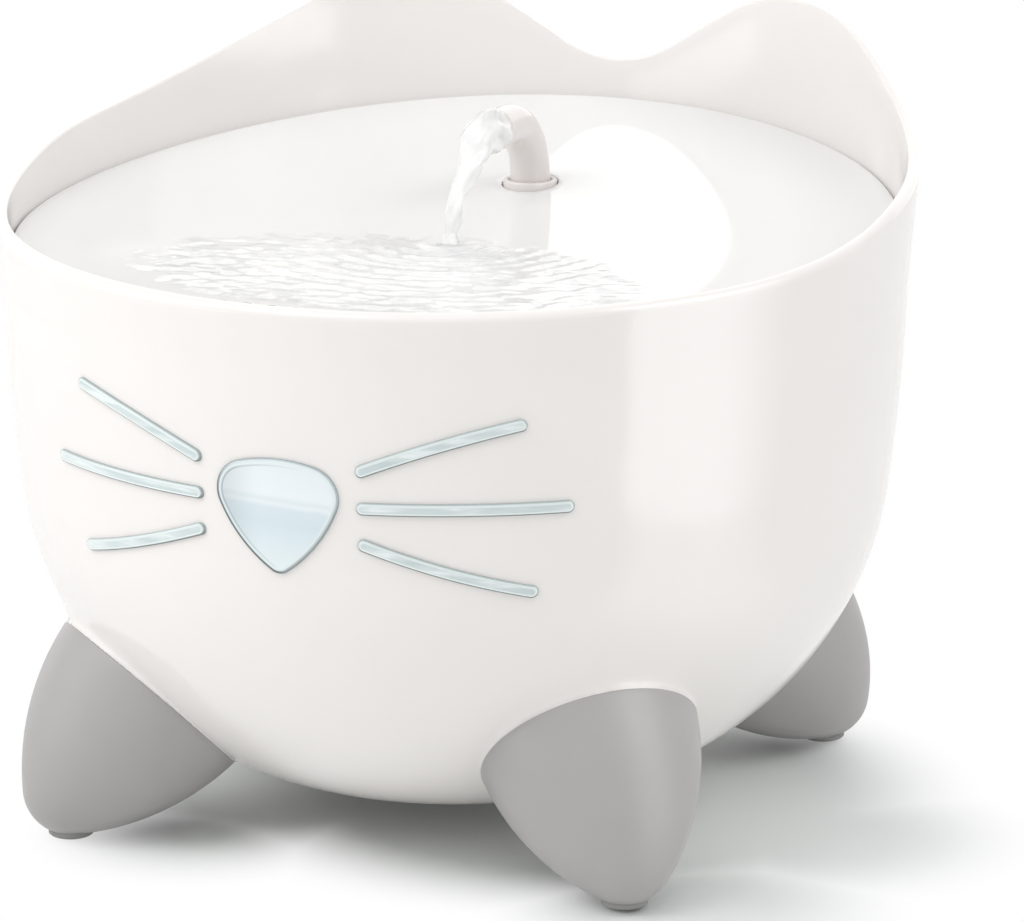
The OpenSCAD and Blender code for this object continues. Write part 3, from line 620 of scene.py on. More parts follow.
# seat for the pump, moulded with the tank's floor; its underside stays inside the wall
SEAT_R = 26.5
SEAT_T = 9.0
SEAT_AT = (0, 44, 15.5)
seat = peg(SEAT_R, SEAT_T, SEAT_AT, bevel=0.6, sides=96)
low = points_of(seat)
heel_in = np.maximum(np.hypot(low[:, 0], low[:, 1]) - FLAT_R, 0)
bowl_z = HEEL[1] - np.sqrt(HEEL_R ** 2 - heel_in ** 2)
low[:, 2] = np.maximum(low[:, 2], bowl_z + WALL / 2)
set_points(seat, low)

# a boss for the screw of each foot, square to the screw, which leans in from the foot's pad
FOOT_LENGTH = 43.0
NOSE_R = 12.0
NOSE_S = FOOT_LENGTH - NOSE_R
PAD_AT_R = FOOT_R + NOSE_S * math.sin(FOOT_LEAN)
SCREW_LEAN = math.radians(24)
BOSS_UP = 43.0
TANK_BOSS_R = 4.8
TANK_BOSS_T = 18.0
bosses = []
for turn in FOOT_TURNS:
    a = math.radians(turn)
    reach = PAD_AT_R - BOSS_UP * math.sin(SCREW_LEAN)
    place = (reach * math.cos(a), reach * math.sin(a), BOSS_UP * math.cos(SCREW_LEAN))
    bosses.append(peg(TANK_BOSS_R, TANK_BOSS_T, place, (0, -SCREW_LEAN, a), bevel=0.5))

# hole for the cord's grommet in the back
GROMMET_R = 4.95
GROMMET_AT = (0, 112, 112)
hole = peg(GROMMET_R, 30, GROMMET_AT, (math.pi / 2, 0, 0), sides=64)
apply_modifier(tank_shell, "BOOLEAN", object=hole, operation="DIFFERENCE", solver="EXACT")
bpy.data.objects.remove(hole)
join(tank_shell, seat, *bosses)
select_only(tank_shell)
bpy.ops.object.shade_smooth_by_angle(angle=math.radians(40))
dress(tank_shell, plastic("shell_gloss", (0.865, 0.835, 0.815), 0.13, tone=0.006, peel=0.012,
                          rough_range=0.02, grain=0.01))
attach(tank_shell, "tank")
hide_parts("outer_shell")

# ---- Feet ----
# Each foot is a hollow cone with a round nose, moulded in satin grey plastic. Its mouth closes
# on the hip of the tank, and a screw from below holds it. A rubber pad is let into its nose.
FLANK_R = 66.5
FLANK_K = (FLANK_R - NOSE_R) * math.sqrt(0.5)
FOOT_WALL = 2.3
MOUTH_ROUND = 0.5
FOOT_NAMES = ("front_right", "front_left", "rear_right", "rear_left")


def foot_line(depth, top, steps):
    """outline of a foot from the tip of its nose up to its mouth"""
    points = []
    for k in range(0, 15):
        a = -math.pi / 2 + math.pi / 4 * k / 14
        points.append(((NOSE_R - depth) * math.cos(a), -NOSE_S + (NOSE_R - depth) * math.sin(a)))
    centre = (-FLANK_K, -NOSE_S + FLANK_K)
    end = math.asin((top - centre[1]) / (FLANK_R - depth))
    for k in range(1, steps + 1):
        a = -math.pi / 4 + (end + math.pi / 4) * k / steps
        points.append((centre[0] + (FLANK_R - depth) * math.cos(a),
                       centre[1] + (FLANK_R - depth) * math.sin(a)))
    return points


foot_grey = plastic("foot_satin", (0.385, 0.375, 0.372), 0.42, tone=0.02, peel=0.05,
                    peel_scale=700, grain=0.12, grain_scale=3400, rough_range=0.04)
for name, turn in zip(FOOT_NAMES, FOOT_TURNS):
    mouth = foot_line(SKIN, -MOUTH_ROUND, 30)
    mouth_r = mouth[-1][0]
    for k in range(1, 5):
        a = math.pi / 2 * k / 4
        mouth.append((mouth_r - MOUTH_ROUND * (1 - math.cos(a)),
                      -MOUTH_ROUND + MOUTH_ROUND * math.sin(a)))
    inner = foot_line(FOOT_WALL, -0.4, 16)
    cup = turned("foot_%s_cup" % name, mouth + [(inner[-1][0], 0)] + inner[::-1], 120)
    base, x_axis, y_axis, z_axis = foot_frame(turn)
    set_points(cup, base + points_of(cup) @ np.stack([x_axis, y_axis, z_axis]))
    dress(cup, foot_grey)
    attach(cup, "tank")
    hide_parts("foot_" + name)

PAD_R = 5.75
PAD_TOP = 3.06
PAD_BALL_R = 13.148
PAD_BALL_Z = FOOT_Z - NOSE_S * math.cos(FOOT_LEAN)
pads = []
# the pad's outline: a dimple, the ring it stands on, the ball of its side, the step into the nose
for turn in FOOT_TURNS:
    line = [(0, 0.3), (1.5, 0.26), (2.2, 0.05), (2.9, 0.03)]
    line += [(r, PAD_BALL_Z - math.sqrt((PAD_BALL_R - SKIN) ** 2 - r * r))
             for r in (3.4, 4.0, 4.6, 5.2)]
    line += [(PAD_R - 0.3, 1.02), (PAD_R - 0.1, 1.16), (PAD_R - 0.05, 1.4)]
    line += [(PAD_R - 0.05, PAD_TOP - 0.05), (0, PAD_TOP - 0.05)]
    pad = turned("pad", line, 72)
    a = math.radians(turn)
    set_points(pad, points_of(pad) + PAD_AT_R * np.array([math.cos(a), math.sin(a), 0]))
    pads.append(pad)
foot_pad_set = join(pads[0], *pads[1:])
foot_pad_set.name = "foot_pad_set"
dress(foot_pad_set, plastic("pad_rubber", (0.33, 0.325, 0.32), 0.7, tone=0.04, peel=0.1,
                            grain=0.2, specular=0.3))
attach(foot_pad_set, "tank")
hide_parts("foot_pads")

dress(nodes["foot_screws"], plastic("screw_steel", (0.55, 0.55, 0.56), 0.32, tone=0.08,
                                    metallic=1.0, peel=0.05, grain=0.1))

# ---- Nose window ----
# The nose is a rounded triangle of clear blue-tinted plastic, let into the front wall and
# standing a little proud of it. It shows how full the tank is: below the water line it is darker.
PROUD = 0.86


def on_shell(x, z, lift):
    """point of the front wall over (x, z), lifted off the surface"""
    r = wall_r(z) + lift
    return x, -math.sqrt(r * r - x * x), z


def swept(name, rings):
    """rings of the same number of points joined into one skin"""
    count = len(rings[0])
    points = [p for ring in rings for p in ring]
    faces = []
    for j in range(len(rings) - 1):
        for i in range(count):
            k = (i + 1) % count
            faces.append((j * count + i, j * count + k, (j + 1) * count + k, (j + 1) * count + i))
    obj = fresh(name, points, (), faces)
    return close_up(obj)


def store(obj, name, values):
    """a number for each point, which a material reads"""
    layer = obj.data.attributes.new(name, "FLOAT", "POINT")
    layer.data.foreach_set("value", np.asarray(values, np.float32))


CORNERS = [np.array([-7.7, 104.8]), np.array([7.7, 104.8]), np.array([0.0, 88.4])]
CORNER_R = [8.0, 8.0, 3.5]
NOSE_SIDE_R = 37.5
middle = sum(CORNERS) / 3


def side_centre(a, b, ra, rb):
    """centre of the circle through the sides of two corner circles"""
    gap = b - a
    dist = np.linalg.norm(gap)
    u = gap / dist
    n = np.array([-u[1], u[0]])
    along = (dist ** 2 + ra ** 2 - rb ** 2) / (2 * dist)
    off = math.sqrt(ra ** 2 - along ** 2)
    side = 1 if n @ (middle - a) > 0 else -1
    return a + u * along + n * off * side


sides = [side_centre(CORNERS[i], CORNERS[(i + 1) % 3], NOSE_SIDE_R - CORNER_R[i],
                     NOSE_SIDE_R - CORNER_R[(i + 1) % 3]) for i in range(3)]
nose_line = []
for i in range(3):
    for start, end, centre, r, steps in (
            (CORNERS[i] - sides[i - 1], CORNERS[i] - sides[i], CORNERS[i], CORNER_R[i], 14),
            (CORNERS[i] - sides[i], CORNERS[(i + 1) % 3] - sides[i], sides[i], NOSE_SIDE_R, 26)):
        a0, a1 = math.atan2(start[1], start[0]), math.atan2(end[1], end[0])
        a1 = a0 + (a1 - a0 + math.pi) % (2 * math.pi) - math.pi
        for k in range(steps):
            a = a0 + (a1 - a0) * k / steps
            n = np.array([math.cos(a), math.sin(a)])
            nose_line.append((centre + n * r, n))
NOSE_BACK = -1.2
NOSE_FLAT_IN = 2.2
# how far in from the outline and how far off the shell the rounded edge runs
NOSE_EDGE = ((0.06, NOSE_BACK), (0.04, 0.1), (0.06, 0.4), (0.16, 0.62), (0.34, 0.77),
             (0.6, 0.84), (0.95, PROUD), (1.5, PROUD), (NOSE_FLAT_IN, PROUD))
rings = [[on_shell(*middle, NOSE_BACK)] * len(nose_line)]
for inset, lift in NOSE_EDGE:
    rings.append([on_shell(*(p - n * inset), lift) for p, n in nose_line])
for share in (0.86, 0.7, 0.52, 0.34, 0.16, 0.0):
    rings.append([on_shell(*(middle + (p - n * NOSE_FLAT_IN - middle) * share), PROUD)
                  for p, n in nose_line])
nose = swept("nose_pane", rings)
nose_ends = np.array([p for p, n in nose_line])
nose_out = np.array([n for p, n in nose_line])
gaps = np.linalg.norm(points_of(nose)[:, None, [0, 2]] - nose_ends[None], axis=2)


def facing(direction):
    """how much the nearest part of the outline faces a direction, 0.06 to 1"""
    faces = nose_out @ np.array(direction)
    return np.clip(0.5 + 0.62 * faces[gaps.argmin(1)], 0.06, 1)


store(nose, "edge_in", gaps.min(1))
# painted shade: how much each point's edge faces down to the left, where the edge is painted dark
store(nose, "edge_shade_share", facing((-0.72, -0.69)))
store(nose, "edge_line", np.clip(2 * facing((-0.95, 0.3)) - 1.1, 0, 1))


def clear_blue(name, rough):
    """a material for the clear blue plastic, whose colours come from the code that follows"""
    mat, tree, bsdf = new_material(name)
    bsdf.inputs["Roughness"].default_value = rough
    bsdf.inputs["Coat Weight"].default_value = 0.4
    bsdf.inputs["Coat Roughness"].default_value = 0.05
    return mat, tree, bsdf.inputs["Base Color"]


def stored(tree, name):
    """a number that the piece's mesh stores"""
    return add_node(tree, "ShaderNodeAttribute", attribute_name=name).outputs["Fac"]


def blended(tree, share, first, second):
    """the first colour where the share is 0 and the second where it is 1"""
    mix = add_node(tree, "ShaderNodeMix", data_type="RGBA", Factor=share, A=first, B=second)
    return mix.outputs["Result"]


nose_mat, tree, nose_colour = clear_blue("nose_clear_blue", 0.16)
spot = add_node(tree, "ShaderNodeTexCoord").outputs["Object"]
axes = add_node(tree, "ShaderNodeSeparateXYZ", Vector=spot)
wobble = add_node(tree, "ShaderNodeTexNoise", Scale=120.0, Detail=2.0, Vector=spot)
# height over the water line, which leans a little down to the right
level = worked_out(tree, "MULTIPLY_ADD", axes.outputs["X"], 0.06, axes.outputs["Z"])
level = worked_out(tree, "MULTIPLY_ADD", wobble.outputs["Fac"], 0.0016, level)
face = ramp_of(tree, [(0.0, (0.80, 0.88, 0.89)), (0.22, (0.75, 0.83, 0.86)),
                      (0.50, (0.66, 0.76, 0.81)), (0.63, (0.68, 0.77, 0.82)),
                      (0.665, (0.80, 0.86, 0.89)), (0.70, (0.74, 0.81, 0.84)),
                      (0.74, (0.82, 0.88, 0.91)), (1.0, (0.79, 0.85, 0.88))],
               ranged(tree, level, 0.084, 0.113))
# painted shade: the left side of the window is coloured a little darker than the middle
side = ranged(tree, axes.outputs["X"], -0.017, -0.003, 0.74, 1.0, kind="SMOOTHSTEP")
shaded = add_node(tree, "ShaderNodeVectorMath", operation="SCALE", Scale=side)
tree.links.new(face, shaded.inputs[0])
# painted shade: the rounded edge is painted dark where it faces down to the left, as a shaded copy,
# and paler elsewhere, as a lit copy with a thin dark outline
near = ranged(tree, stored(tree, "edge_in"), 0.0, 2.0)
shaded_edge = ramp_of(tree, [(0.0, (0.05, 0.065, 0.07)), (0.30, (0.10, 0.125, 0.13)),
                           (0.40, (0.30, 0.36, 0.37)), (0.48, (0.72, 0.79, 0.80)),
                           (0.62, (0.76, 0.83, 0.85)), (1.0, (0.72, 0.80, 0.83))], near)
lit_edge = ramp_of(tree, [(0.0, (0.34, 0.40, 0.42)), (0.14, (0.48, 0.55, 0.57)),
                           (0.26, (0.80, 0.86, 0.88)), (0.6, (0.76, 0.83, 0.85)),
                           (1.0, (0.80, 0.87, 0.89))], near)
edge = blended(tree, stored(tree, "edge_shade_share"), lit_edge, shaded_edge)
base = blended(tree, ranged(tree, near, 0.55, 0.75), edge, shaded.outputs["Vector"])
# painted shade: a second thin dark line inside the upper left edge
inner_shade_line = ramp_of(tree, [(0.0, (0, 0, 0)), (0.70, (0, 0, 0)), (0.80, (1, 1, 1)), (0.88, (1, 1, 1)),
                      (1.0, (0, 0, 0))], near)
amount = worked_out(tree, "MULTIPLY", inner_shade_line, stored(tree, "edge_line"))
put(tree, nose_colour, blended(tree, amount, base, (0.34, 0.41, 0.43, 1)))
dress(nose, nose_mat)
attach(nose, "tank")
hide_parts("nose_window")

# ---- Whiskers ----
# Six slim bars of the same clear blue plastic are pressed into grooves beside the nose, three on
# each side. Their sides are painted dark as shade, and faint streaks of light are painted through
# them.
WHISKER_W = 3.2
WHISKER_START = 10.9
# row, outer end in degrees from the front, height of the inner and the outer end, bow
WHISKERS = (("upper", 30.0, 112.1, 123.6, 0.9), ("middle", 35.9, 102.8, 103.1, 0.0),
            ("lower", 31.6, 93.6, 82.1, -0.7))
whisker_mat, tree, whisker_colour = clear_blue("whisker_clear_blue", 0.18)
spot = add_node(tree, "ShaderNodeTexCoord").outputs["Object"]
near = ranged(tree, stored(tree, "edge_in"), 0.0, 1.0)
# painted shade: a shaded copy and a lit copy of the bar's edge colour, blended by how much the edge
# faces down
shaded_edge = ramp_of(tree, [(0.0, (0.07, 0.09, 0.09)), (0.36, (0.16, 0.20, 0.20)),
                           (0.46, (0.60, 0.68, 0.69)), (0.58, (0.90, 0.94, 0.94)),
                           (0.74, (0.80, 0.86, 0.86)), (0.9, (0.62, 0.70, 0.70)),
                           (1.0, (0.62, 0.70, 0.70))], near)
lit_edge = ramp_of(tree, [(0.0, (0.36, 0.42, 0.42)), (0.2, (0.44, 0.51, 0.51)),
                           (0.36, (0.72, 0.79, 0.79)), (0.7, (0.74, 0.80, 0.80)),
                           (1.0, (0.66, 0.73, 0.73))], near)
edge = blended(tree, stored(tree, "edge_shade_share"), lit_edge, shaded_edge)
# painted highlight: faint pale streaks along each bar's face stand in for light running through it
squeeze = add_node(tree, "ShaderNodeMapping", Vector=spot, Scale=(0.22, 0.22, 1.6))
streak = add_node(tree, "ShaderNodeTexNoise", Scale=260.0, Detail=4.0,
                  Vector=squeeze.outputs[0])
light = ramp_of(tree, [(0.0, (0.50, 0.58, 0.59)), (0.42, (0.58, 0.66, 0.67)),
                       (0.54, (0.66, 0.73, 0.73)), (0.64, (0.80, 0.86, 0.86))],
                streak.outputs["Fac"])
put(tree, whisker_colour, blended(tree, ranged(tree, near, 0.8, 1.0), edge, light))


def bar_line(length):
    """points and outward directions round a bar of this length with round ends"""
    half_w = WHISKER_W / 2
    line = []
    for end in (1, -1):
        for k in range(40):
            line.append(((-1 + 2 * k / 40) * length / 2 * end, -half_w * end, 0.0, -end))
        for k in range(16):
            a = -math.pi / 2 + math.pi * k / 16 + (0 if end > 0 else math.pi)
            line.append((length / 2 * end + half_w * math.cos(a), half_w * math.sin(a),
                         math.cos(a), math.sin(a)))
    return line


BAR_EDGE = ((1.6, -1.2), (0.05, -1.2), (0.04, 0.2), (0.08, 0.5), (0.24, 0.72), (0.5, 0.83),
            (0.85, 0.86), (1.2, 0.87), (1.6, 0.87))
for side, mirror in (("right", 1), ("left", -1)):
    for row, end_angle, z0, z1, bow in WHISKERS:
        mid = math.radians((WHISKER_START + end_angle) / 2)
        half_turn = math.radians((end_angle - WHISKER_START) / 2)
        span = 2 * wall_r((z0 + z1) / 2) * math.sin(half_turn)
        slope = math.atan2(z1 - z0, span)
        length = math.hypot(span, z1 - z0)
        line = bar_line(length)
        rings = []
        for inset, lift in BAR_EDGE:
            ring = []
            for u, v, nu, nv in line:
                u, v = u - nu * inset, v - nv * inset
                v += bow * (1 - (2 * u / length) ** 2)
                x = u * math.cos(slope) - v * math.sin(slope)
                z = (z0 + z1) / 2 + u * math.sin(slope) + v * math.cos(slope)
                x, y, z = on_shell(x, z, lift)
                ring.append(((x * math.cos(mid) - y * math.sin(mid)) * mirror,
                             x * math.sin(mid) + y * math.cos(mid), z))
            rings.append(ring)
        bar = swept("whisker_%s_%s_bar" % (side, row), rings)
        every = np.array([q for ring in rings for q in ring])
        nearest = np.array([np.argmin(((every - q) ** 2).sum(1)) for q in points_of(bar)])
        inset_of = np.repeat([inset for inset, lift in BAR_EDGE], len(line))
        store(bar, "edge_in", inset_of[nearest])
        # painted shade: the edge is painted dark where it faces down, and at the bar's outer end
        left_share = 1.1 if side == "left" else 0.66
        down = np.array([max(-nv * math.cos(slope) - nu * math.sin(slope), left_share * nu - 0.3)
                         for u, v, nu, nv in line])
        store(bar, "edge_shade_share", np.clip(down[nearest % len(line)], 0.05, 1))
        dress(bar, whisker_mat)
        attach(bar, "tank")
        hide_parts("whisker_%s_%s" % (side, row))

# ---- Cord grommet ----
# A soft grey rubber grommet lines the cord's hole at the back of the tank, above the water line.
# It is pushed in from outside, and its two flanges grip the wall.
dress(nodes["cable_grommet"], plastic("grommet_rubber", (0.22, 0.22, 0.22), 0.6, tone=0.05,
                                      peel=0.08, grain=0.15, specular=0.35))

# ---- Drinking tray ----
# The tray is a lift-off white moulding: a shallow dish that slopes forward into the pool, with a
# skirt that stands on the tank's ledge, drain slots behind the front rim and a boss for the spout.
DISH_Z = 142.0
DISH_Y = -40.0
DISH_LONG = 640.0
DISH_WIDE = 1660.0
TRAY_GAP = 0.35
TRAY_T = 3.0
SKIRT_T = 2.6
SPOUT_Y = 51.0


def dish(x, y):
    """height of the dish over a place"""
    return DISH_Z + (y - DISH_Y) ** 2 / (2 * DISH_LONG) + x * x / (2 * DISH_WIDE)


SPOUT_Z = dish(0, SPOUT_Y)
STEM_BOTTOM = 133.5
STEM_HOLE_R = 5.7
COLLAR_SEAT_R = 7.35
COLLAR_SEAT_DEEP = 2.5
DISH_HOLE_R = 7.7
EDGE_ROUND = 0.8
BOSS_R = 9.6
BOSS_Z = 118.0
BOSS_ROUND = 0.4
RISER_HOLE_R = 7.0
AROUND = 240
turns = [2 * math.pi * k / AROUND for k in range(AROUND)]


def ring_at(centre_y, r, height):
    """a round ring about (0, centre_y), its height a number or a function of the place"""
    ring = []
    for a in turns:
        x, y = r * math.cos(a), centre_y + r * math.sin(a)
        ring.append((x, y, height(x, y) if callable(height) else height))
    return ring


def edge_ring(depth, drop):
    """a ring along the wall, a depth inside the tray's edge and a drop under the dish"""
    ring = []
    for a in turns:
        z = 150.0
        for _ in range(5):
            r = wall_r(z, WALL + TRAY_GAP + depth)
            z = dish(r * math.cos(a), r * math.sin(a)) - drop
        ring.append((r * math.cos(a), r * math.sin(a), z))
    return ring


def wall_ring(depth, share, drop):
    """a ring on the skirt, share 0 at its top and 1 at its foot"""
    ring = []
    for x, y, z in edge_ring(depth, drop):
        a = math.atan2(y, x)
        z = z + (LEDGE_Z + 0.05 - z) * share
        r = wall_r(z, WALL + TRAY_GAP + depth)
        ring.append((r * math.cos(a), r * math.sin(a), z))
    return ring


# the hole for the stem, the seat of the collar and its rounded edge
rings = [ring_at(SPOUT_Y, STEM_HOLE_R, STEM_BOTTOM - 1),
         ring_at(SPOUT_Y, STEM_HOLE_R, SPOUT_Z - COLLAR_SEAT_DEEP),
         ring_at(SPOUT_Y, COLLAR_SEAT_R, SPOUT_Z - COLLAR_SEAT_DEEP),
         ring_at(SPOUT_Y, COLLAR_SEAT_R, lambda x, y: dish(x, y) - 0.35),
         ring_at(SPOUT_Y, COLLAR_SEAT_R + 0.1, lambda x, y: dish(x, y) - 0.1),
         ring_at(SPOUT_Y, DISH_HOLE_R, dish)]
# the dish, its rounded edge and the skirt's outside
last = edge_ring(EDGE_ROUND, 0)
DISH_RINGS = 54
for k in range(1, DISH_RINGS + 1):
    share = k / DISH_RINGS
    centre = SPOUT_Y * (1 - share)
    ring = []
    for a, end in zip(turns, last):
        r = DISH_HOLE_R + (math.hypot(end[0], end[1]) - DISH_HOLE_R) * share
        x, y = r * math.cos(a), centre + r * math.sin(a)
        ring.append((x, y, dish(x, y) - SKIN))
    rings.append(ring)
for k in range(1, 6):
    a = math.pi / 2 * k / 5
    rings.append(edge_ring(EDGE_ROUND * (1 - math.sin(a)), EDGE_ROUND * (1 - math.cos(a)) + SKIN))
for share in (0.2, 0.4, 0.6, 0.8, 0.97, 1.0):
    rings.append(wall_ring(0 if share < 1 else 0.3, share, EDGE_ROUND + SKIN))
# the skirt's inside, the underside of the dish and the boss
for share in (1.0, 0.75, 0.5, 0.25, 0.0):
    rings.append(wall_ring(SKIRT_T, share, TRAY_T))
inner = rings[-1]
for k in range(1, 13):
    share = 1 - k / 12
    ring = []
    for a, end in zip(turns, inner):
        r = BOSS_R + (math.hypot(end[0], end[1]) - BOSS_R) * share
        x, y = r * math.cos(a), SPOUT_Y * (1 - share) + r * math.sin(a)
        ring.append((x, y, dish(x, y) - TRAY_T))
    rings.append(ring)
rings += [ring_at(SPOUT_Y, BOSS_R, z) for z in (140, 130, BOSS_Z + BOSS_ROUND)]
rings += [ring_at(SPOUT_Y, BOSS_R - BOSS_ROUND, BOSS_Z),
          ring_at(SPOUT_Y, RISER_HOLE_R + 0.2, BOSS_Z),
          ring_at(SPOUT_Y, RISER_HOLE_R, BOSS_Z + 0.3),
          ring_at(SPOUT_Y, RISER_HOLE_R, STEM_BOTTOM - 1)]
rings.append(rings[0])
drinking_dish = swept("drinking_dish", rings)

SLOT_W = 3.0
SLOT_LEN = 7.0
SLOT_FRONT = -91.0
SLOT_PITCH = 6.4
SLOT_Z = 143.0
CUT_DEEP = 30.0
slot_cutters = []
for k in range(-4, 5):
    bpy.ops.object.select_all(action="DESELECT")
    bpy.ops.mesh.primitive_cube_add(size=1, location=(
        k * SLOT_PITCH * MM, (SLOT_FRONT + SLOT_LEN / 2) * MM, SLOT_Z * MM))
    cutter = bpy.context.active_object
    cutter.scale = (SLOT_W * MM, SLOT_LEN * MM, CUT_DEEP * MM)
    bpy.ops.object.transform_apply(location=True, rotation=True, scale=True)
    bpy.ops.object.mode_set(mode="EDIT")
    bpy.ops.mesh.select_mode(type="EDGE")
    bpy.ops.mesh.select_all(action="DESELECT")
    bpy.ops.object.mode_set(mode="OBJECT")
    for e in cutter.data.edges:
        p, q = (cutter.data.vertices[i].co for i in e.vertices)
        e.select = abs(p.z - q.z) > CUT_DEEP * MM / 2
    bpy.ops.object.mode_set(mode="EDIT")
    bpy.ops.mesh.bevel(offset=(SLOT_W / 2 - 0.01) * MM, segments=6)
    bpy.ops.object.mode_set(mode="OBJECT")
    slot_cutters.append(cutter)
slot_cutter = join(slot_cutters[0], *slot_cutters[1:])
apply_modifier(drinking_dish, "BOOLEAN", object=slot_cutter, operation="DIFFERENCE",
               solver="EXACT")
bpy.data.objects.remove(slot_cutter)

# frame under the dish that holds the filter basket
FRAME_HALF = 42.05
FRAME_T = 2.0
FRAME_Y = (-92.05, -53.95)
FRAME_Z = 132.0
corners = [(-FRAME_HALF, FRAME_Y[0]), (FRAME_HALF, FRAME_Y[0]), (FRAME_HALF, FRAME_Y[1]),
           (-FRAME_HALF, FRAME_Y[1])]
rail_rings = []
for grow, z in ((0, FRAME_Z), (FRAME_T, FRAME_Z), (FRAME_T, None), (0, None), (0, FRAME_Z)):
    ring = []
    for i in range(4):
        (ax, ay), (bx, by) = corners[i], corners[(i + 1) % 4]
        for k in range(12):
            x, y = ax + (bx - ax) * k / 12, ay + (by - ay) * k / 12
            if abs(abs(x) - FRAME_HALF) < 0.01:
                x += math.copysign(grow, x)
            if abs(y - FRAME_Y[0]) < 0.01:
                y -= grow
            elif abs(y - FRAME_Y[1]) < 0.01:
                y += grow
            ring.append((x, y, dish(x, y) - TRAY_T / 2 if z is None else z))
    rail_rings.append(ring)
rails = swept("basket_rails", rail_rings)
# the front corners of the frame end inside the skirt
co = points_of(rails)
limit = np.array([wall_r(z, WALL + TRAY_GAP + 1.0) for z in co[:, 2]])
co[:, :2] *= np.minimum(1, limit / np.hypot(co[:, 0], co[:, 1]))[:, None]
set_points(rails, co)
join(drinking_dish, rails)
select_only(drinking_dish)
bpy.ops.object.shade_smooth_by_angle(angle=math.radians(35))
dress(drinking_dish, plastic("tray_gloss", (0.83, 0.83, 0.82), 0.05, tone=0.006, peel=0.01,
                             rough_range=0.015, grain=0.01))
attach(drinking_dish, "tray")
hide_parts("drinking_tray")

# ---- Filter ----
# The basket hangs in the tray's frame and holds a cartridge: a slotted white frame with a bed of
# carbon grains under a pad of white fleece.
dress(nodes["filter_basket"], plastic("basket_plastic", (0.8, 0.8, 0.8), 0.35, tone=0.02,
                                      peel=0.05, grain=0.05))
dress(nodes["cartridge_frame"], plastic("cartridge_plastic", (0.84, 0.84, 0.83), 0.4, tone=0.02,
                                        peel=0.05, grain=0.05))
dress(nodes["filter_fleece"], plastic("fleece", (0.84, 0.85, 0.87), 0.95, tone=0.08, patch=300,
                                      peel=1.0, peel_scale=900, grain=1.0, grain_scale=2200,
                                      specular=0.1))
dress(nodes["carbon_bed"], plastic("carbon_grains", (0.025, 0.025, 0.025), 0.7, tone=0.5,
                                   patch=700, peel=1.0, peel_scale=700, grain=1.0,
                                   grain_scale=1600))

# ---- Spout ----
# The spout is a white plastic tube bent forward in a quarter turn. Its stem turns in the tray's
# boss on a rubber ring, and its collar closes the hole.
SPOUT_R = 5.16
SPOUT_BORE = 3.7
SPOUT_BEND = 17.0
SPOUT_REACH = 6.5
COLLAR_R = 6.96
COLLAR_BASE = SPOUT_Z - 2.2
COLLAR_TOP = SPOUT_Z + 1.0
STEM_R = 5.56
STEM_BORE = 3.0
RING_Z = 139.0
GROOVE_HALF = 1.1
GROOVE_R = 3.85


def tube_ring(centre, turn, r, count=72):
    """a ring square to a path in the plane x = 0 that leans forward by turn"""
    ring = []
    for k in range(count):
        a = 2 * math.pi * k / count
        across, along = r * math.cos(a), r * math.sin(a)
        ring.append((across, centre[0] + along * math.cos(turn), centre[1] + along * math.sin(turn)))
    return ring


def stem_ring(r, z):
    """a level ring of the stem or the collar"""
    return tube_ring((SPOUT_Y, z), 0, r)


def mouth_ring(r, y):
    """an upright ring of the straight end of the tube"""
    return tube_ring((y, COLLAR_TOP + SPOUT_BEND), math.pi / 2, r)


def bend_rings(r, leans):
    """rings through the quarter bend, one for each lean"""
    return [tube_ring((SPOUT_Y - SPOUT_BEND + SPOUT_BEND * math.cos(t),
                       COLLAR_TOP + SPOUT_BEND * math.sin(t)), t, r) for t in leans]


quarter = [math.pi / 2 * k / 28 for k in range(29)]
mouth_y = SPOUT_Y - SPOUT_BEND - SPOUT_REACH
rings = [stem_ring(STEM_BORE, STEM_BOTTOM), stem_ring(STEM_R - 0.3, STEM_BOTTOM),
         stem_ring(STEM_R, STEM_BOTTOM + 0.3), stem_ring(STEM_R, RING_Z - GROOVE_HALF),
         stem_ring(GROOVE_R, RING_Z - GROOVE_HALF), stem_ring(GROOVE_R, RING_Z + GROOVE_HALF),
         stem_ring(STEM_R, RING_Z + GROOVE_HALF), stem_ring(STEM_R, COLLAR_BASE)]
# the collar and the small step where the tube leaves it
for r, drop in ((COLLAR_R, COLLAR_TOP - COLLAR_BASE), (COLLAR_R, 0.55), (COLLAR_R - 0.12, 0.25),
                (COLLAR_R - 0.35, 0.08), (COLLAR_R - 0.6, 0.04), (SPOUT_R + 0.75, 0.04),
                (SPOUT_R + 0.55, 0.2), (SPOUT_R + 0.5, 0.9), (SPOUT_R + 0.1, 0.9),
                (SPOUT_R, 0.7)):
    rings.append(stem_ring(r, COLLAR_TOP - drop))
rings += bend_rings(SPOUT_R, quarter)
for share in (0.25, 0.5, 0.75, 0.92):
    rings.append(mouth_ring(SPOUT_R, mouth_y + SPOUT_REACH * (1 - share)))
for k in range(1, 5):
    a = math.pi / 2 * k / 4
    rings.append(mouth_ring(SPOUT_R - 0.5 * (1 - math.cos(a)), mouth_y + 0.5 - 0.45 * math.sin(a)))
for k in range(0, 4):
    a = math.pi / 2 * k / 3
    rings.append(mouth_ring(SPOUT_BORE + 0.4 * (1 - math.sin(a)),
                            mouth_y + 0.05 + 0.4 * (1 - math.cos(a))))
rings += bend_rings(SPOUT_BORE, quarter[::-2])
rings += [stem_ring(SPOUT_BORE, COLLAR_TOP - 0.3), stem_ring(STEM_BORE, COLLAR_TOP - 0.8),
          rings[0]]
spout_tube = swept("spout_tube", rings)
bpy.ops.object.shade_smooth_by_angle(angle=math.radians(50))
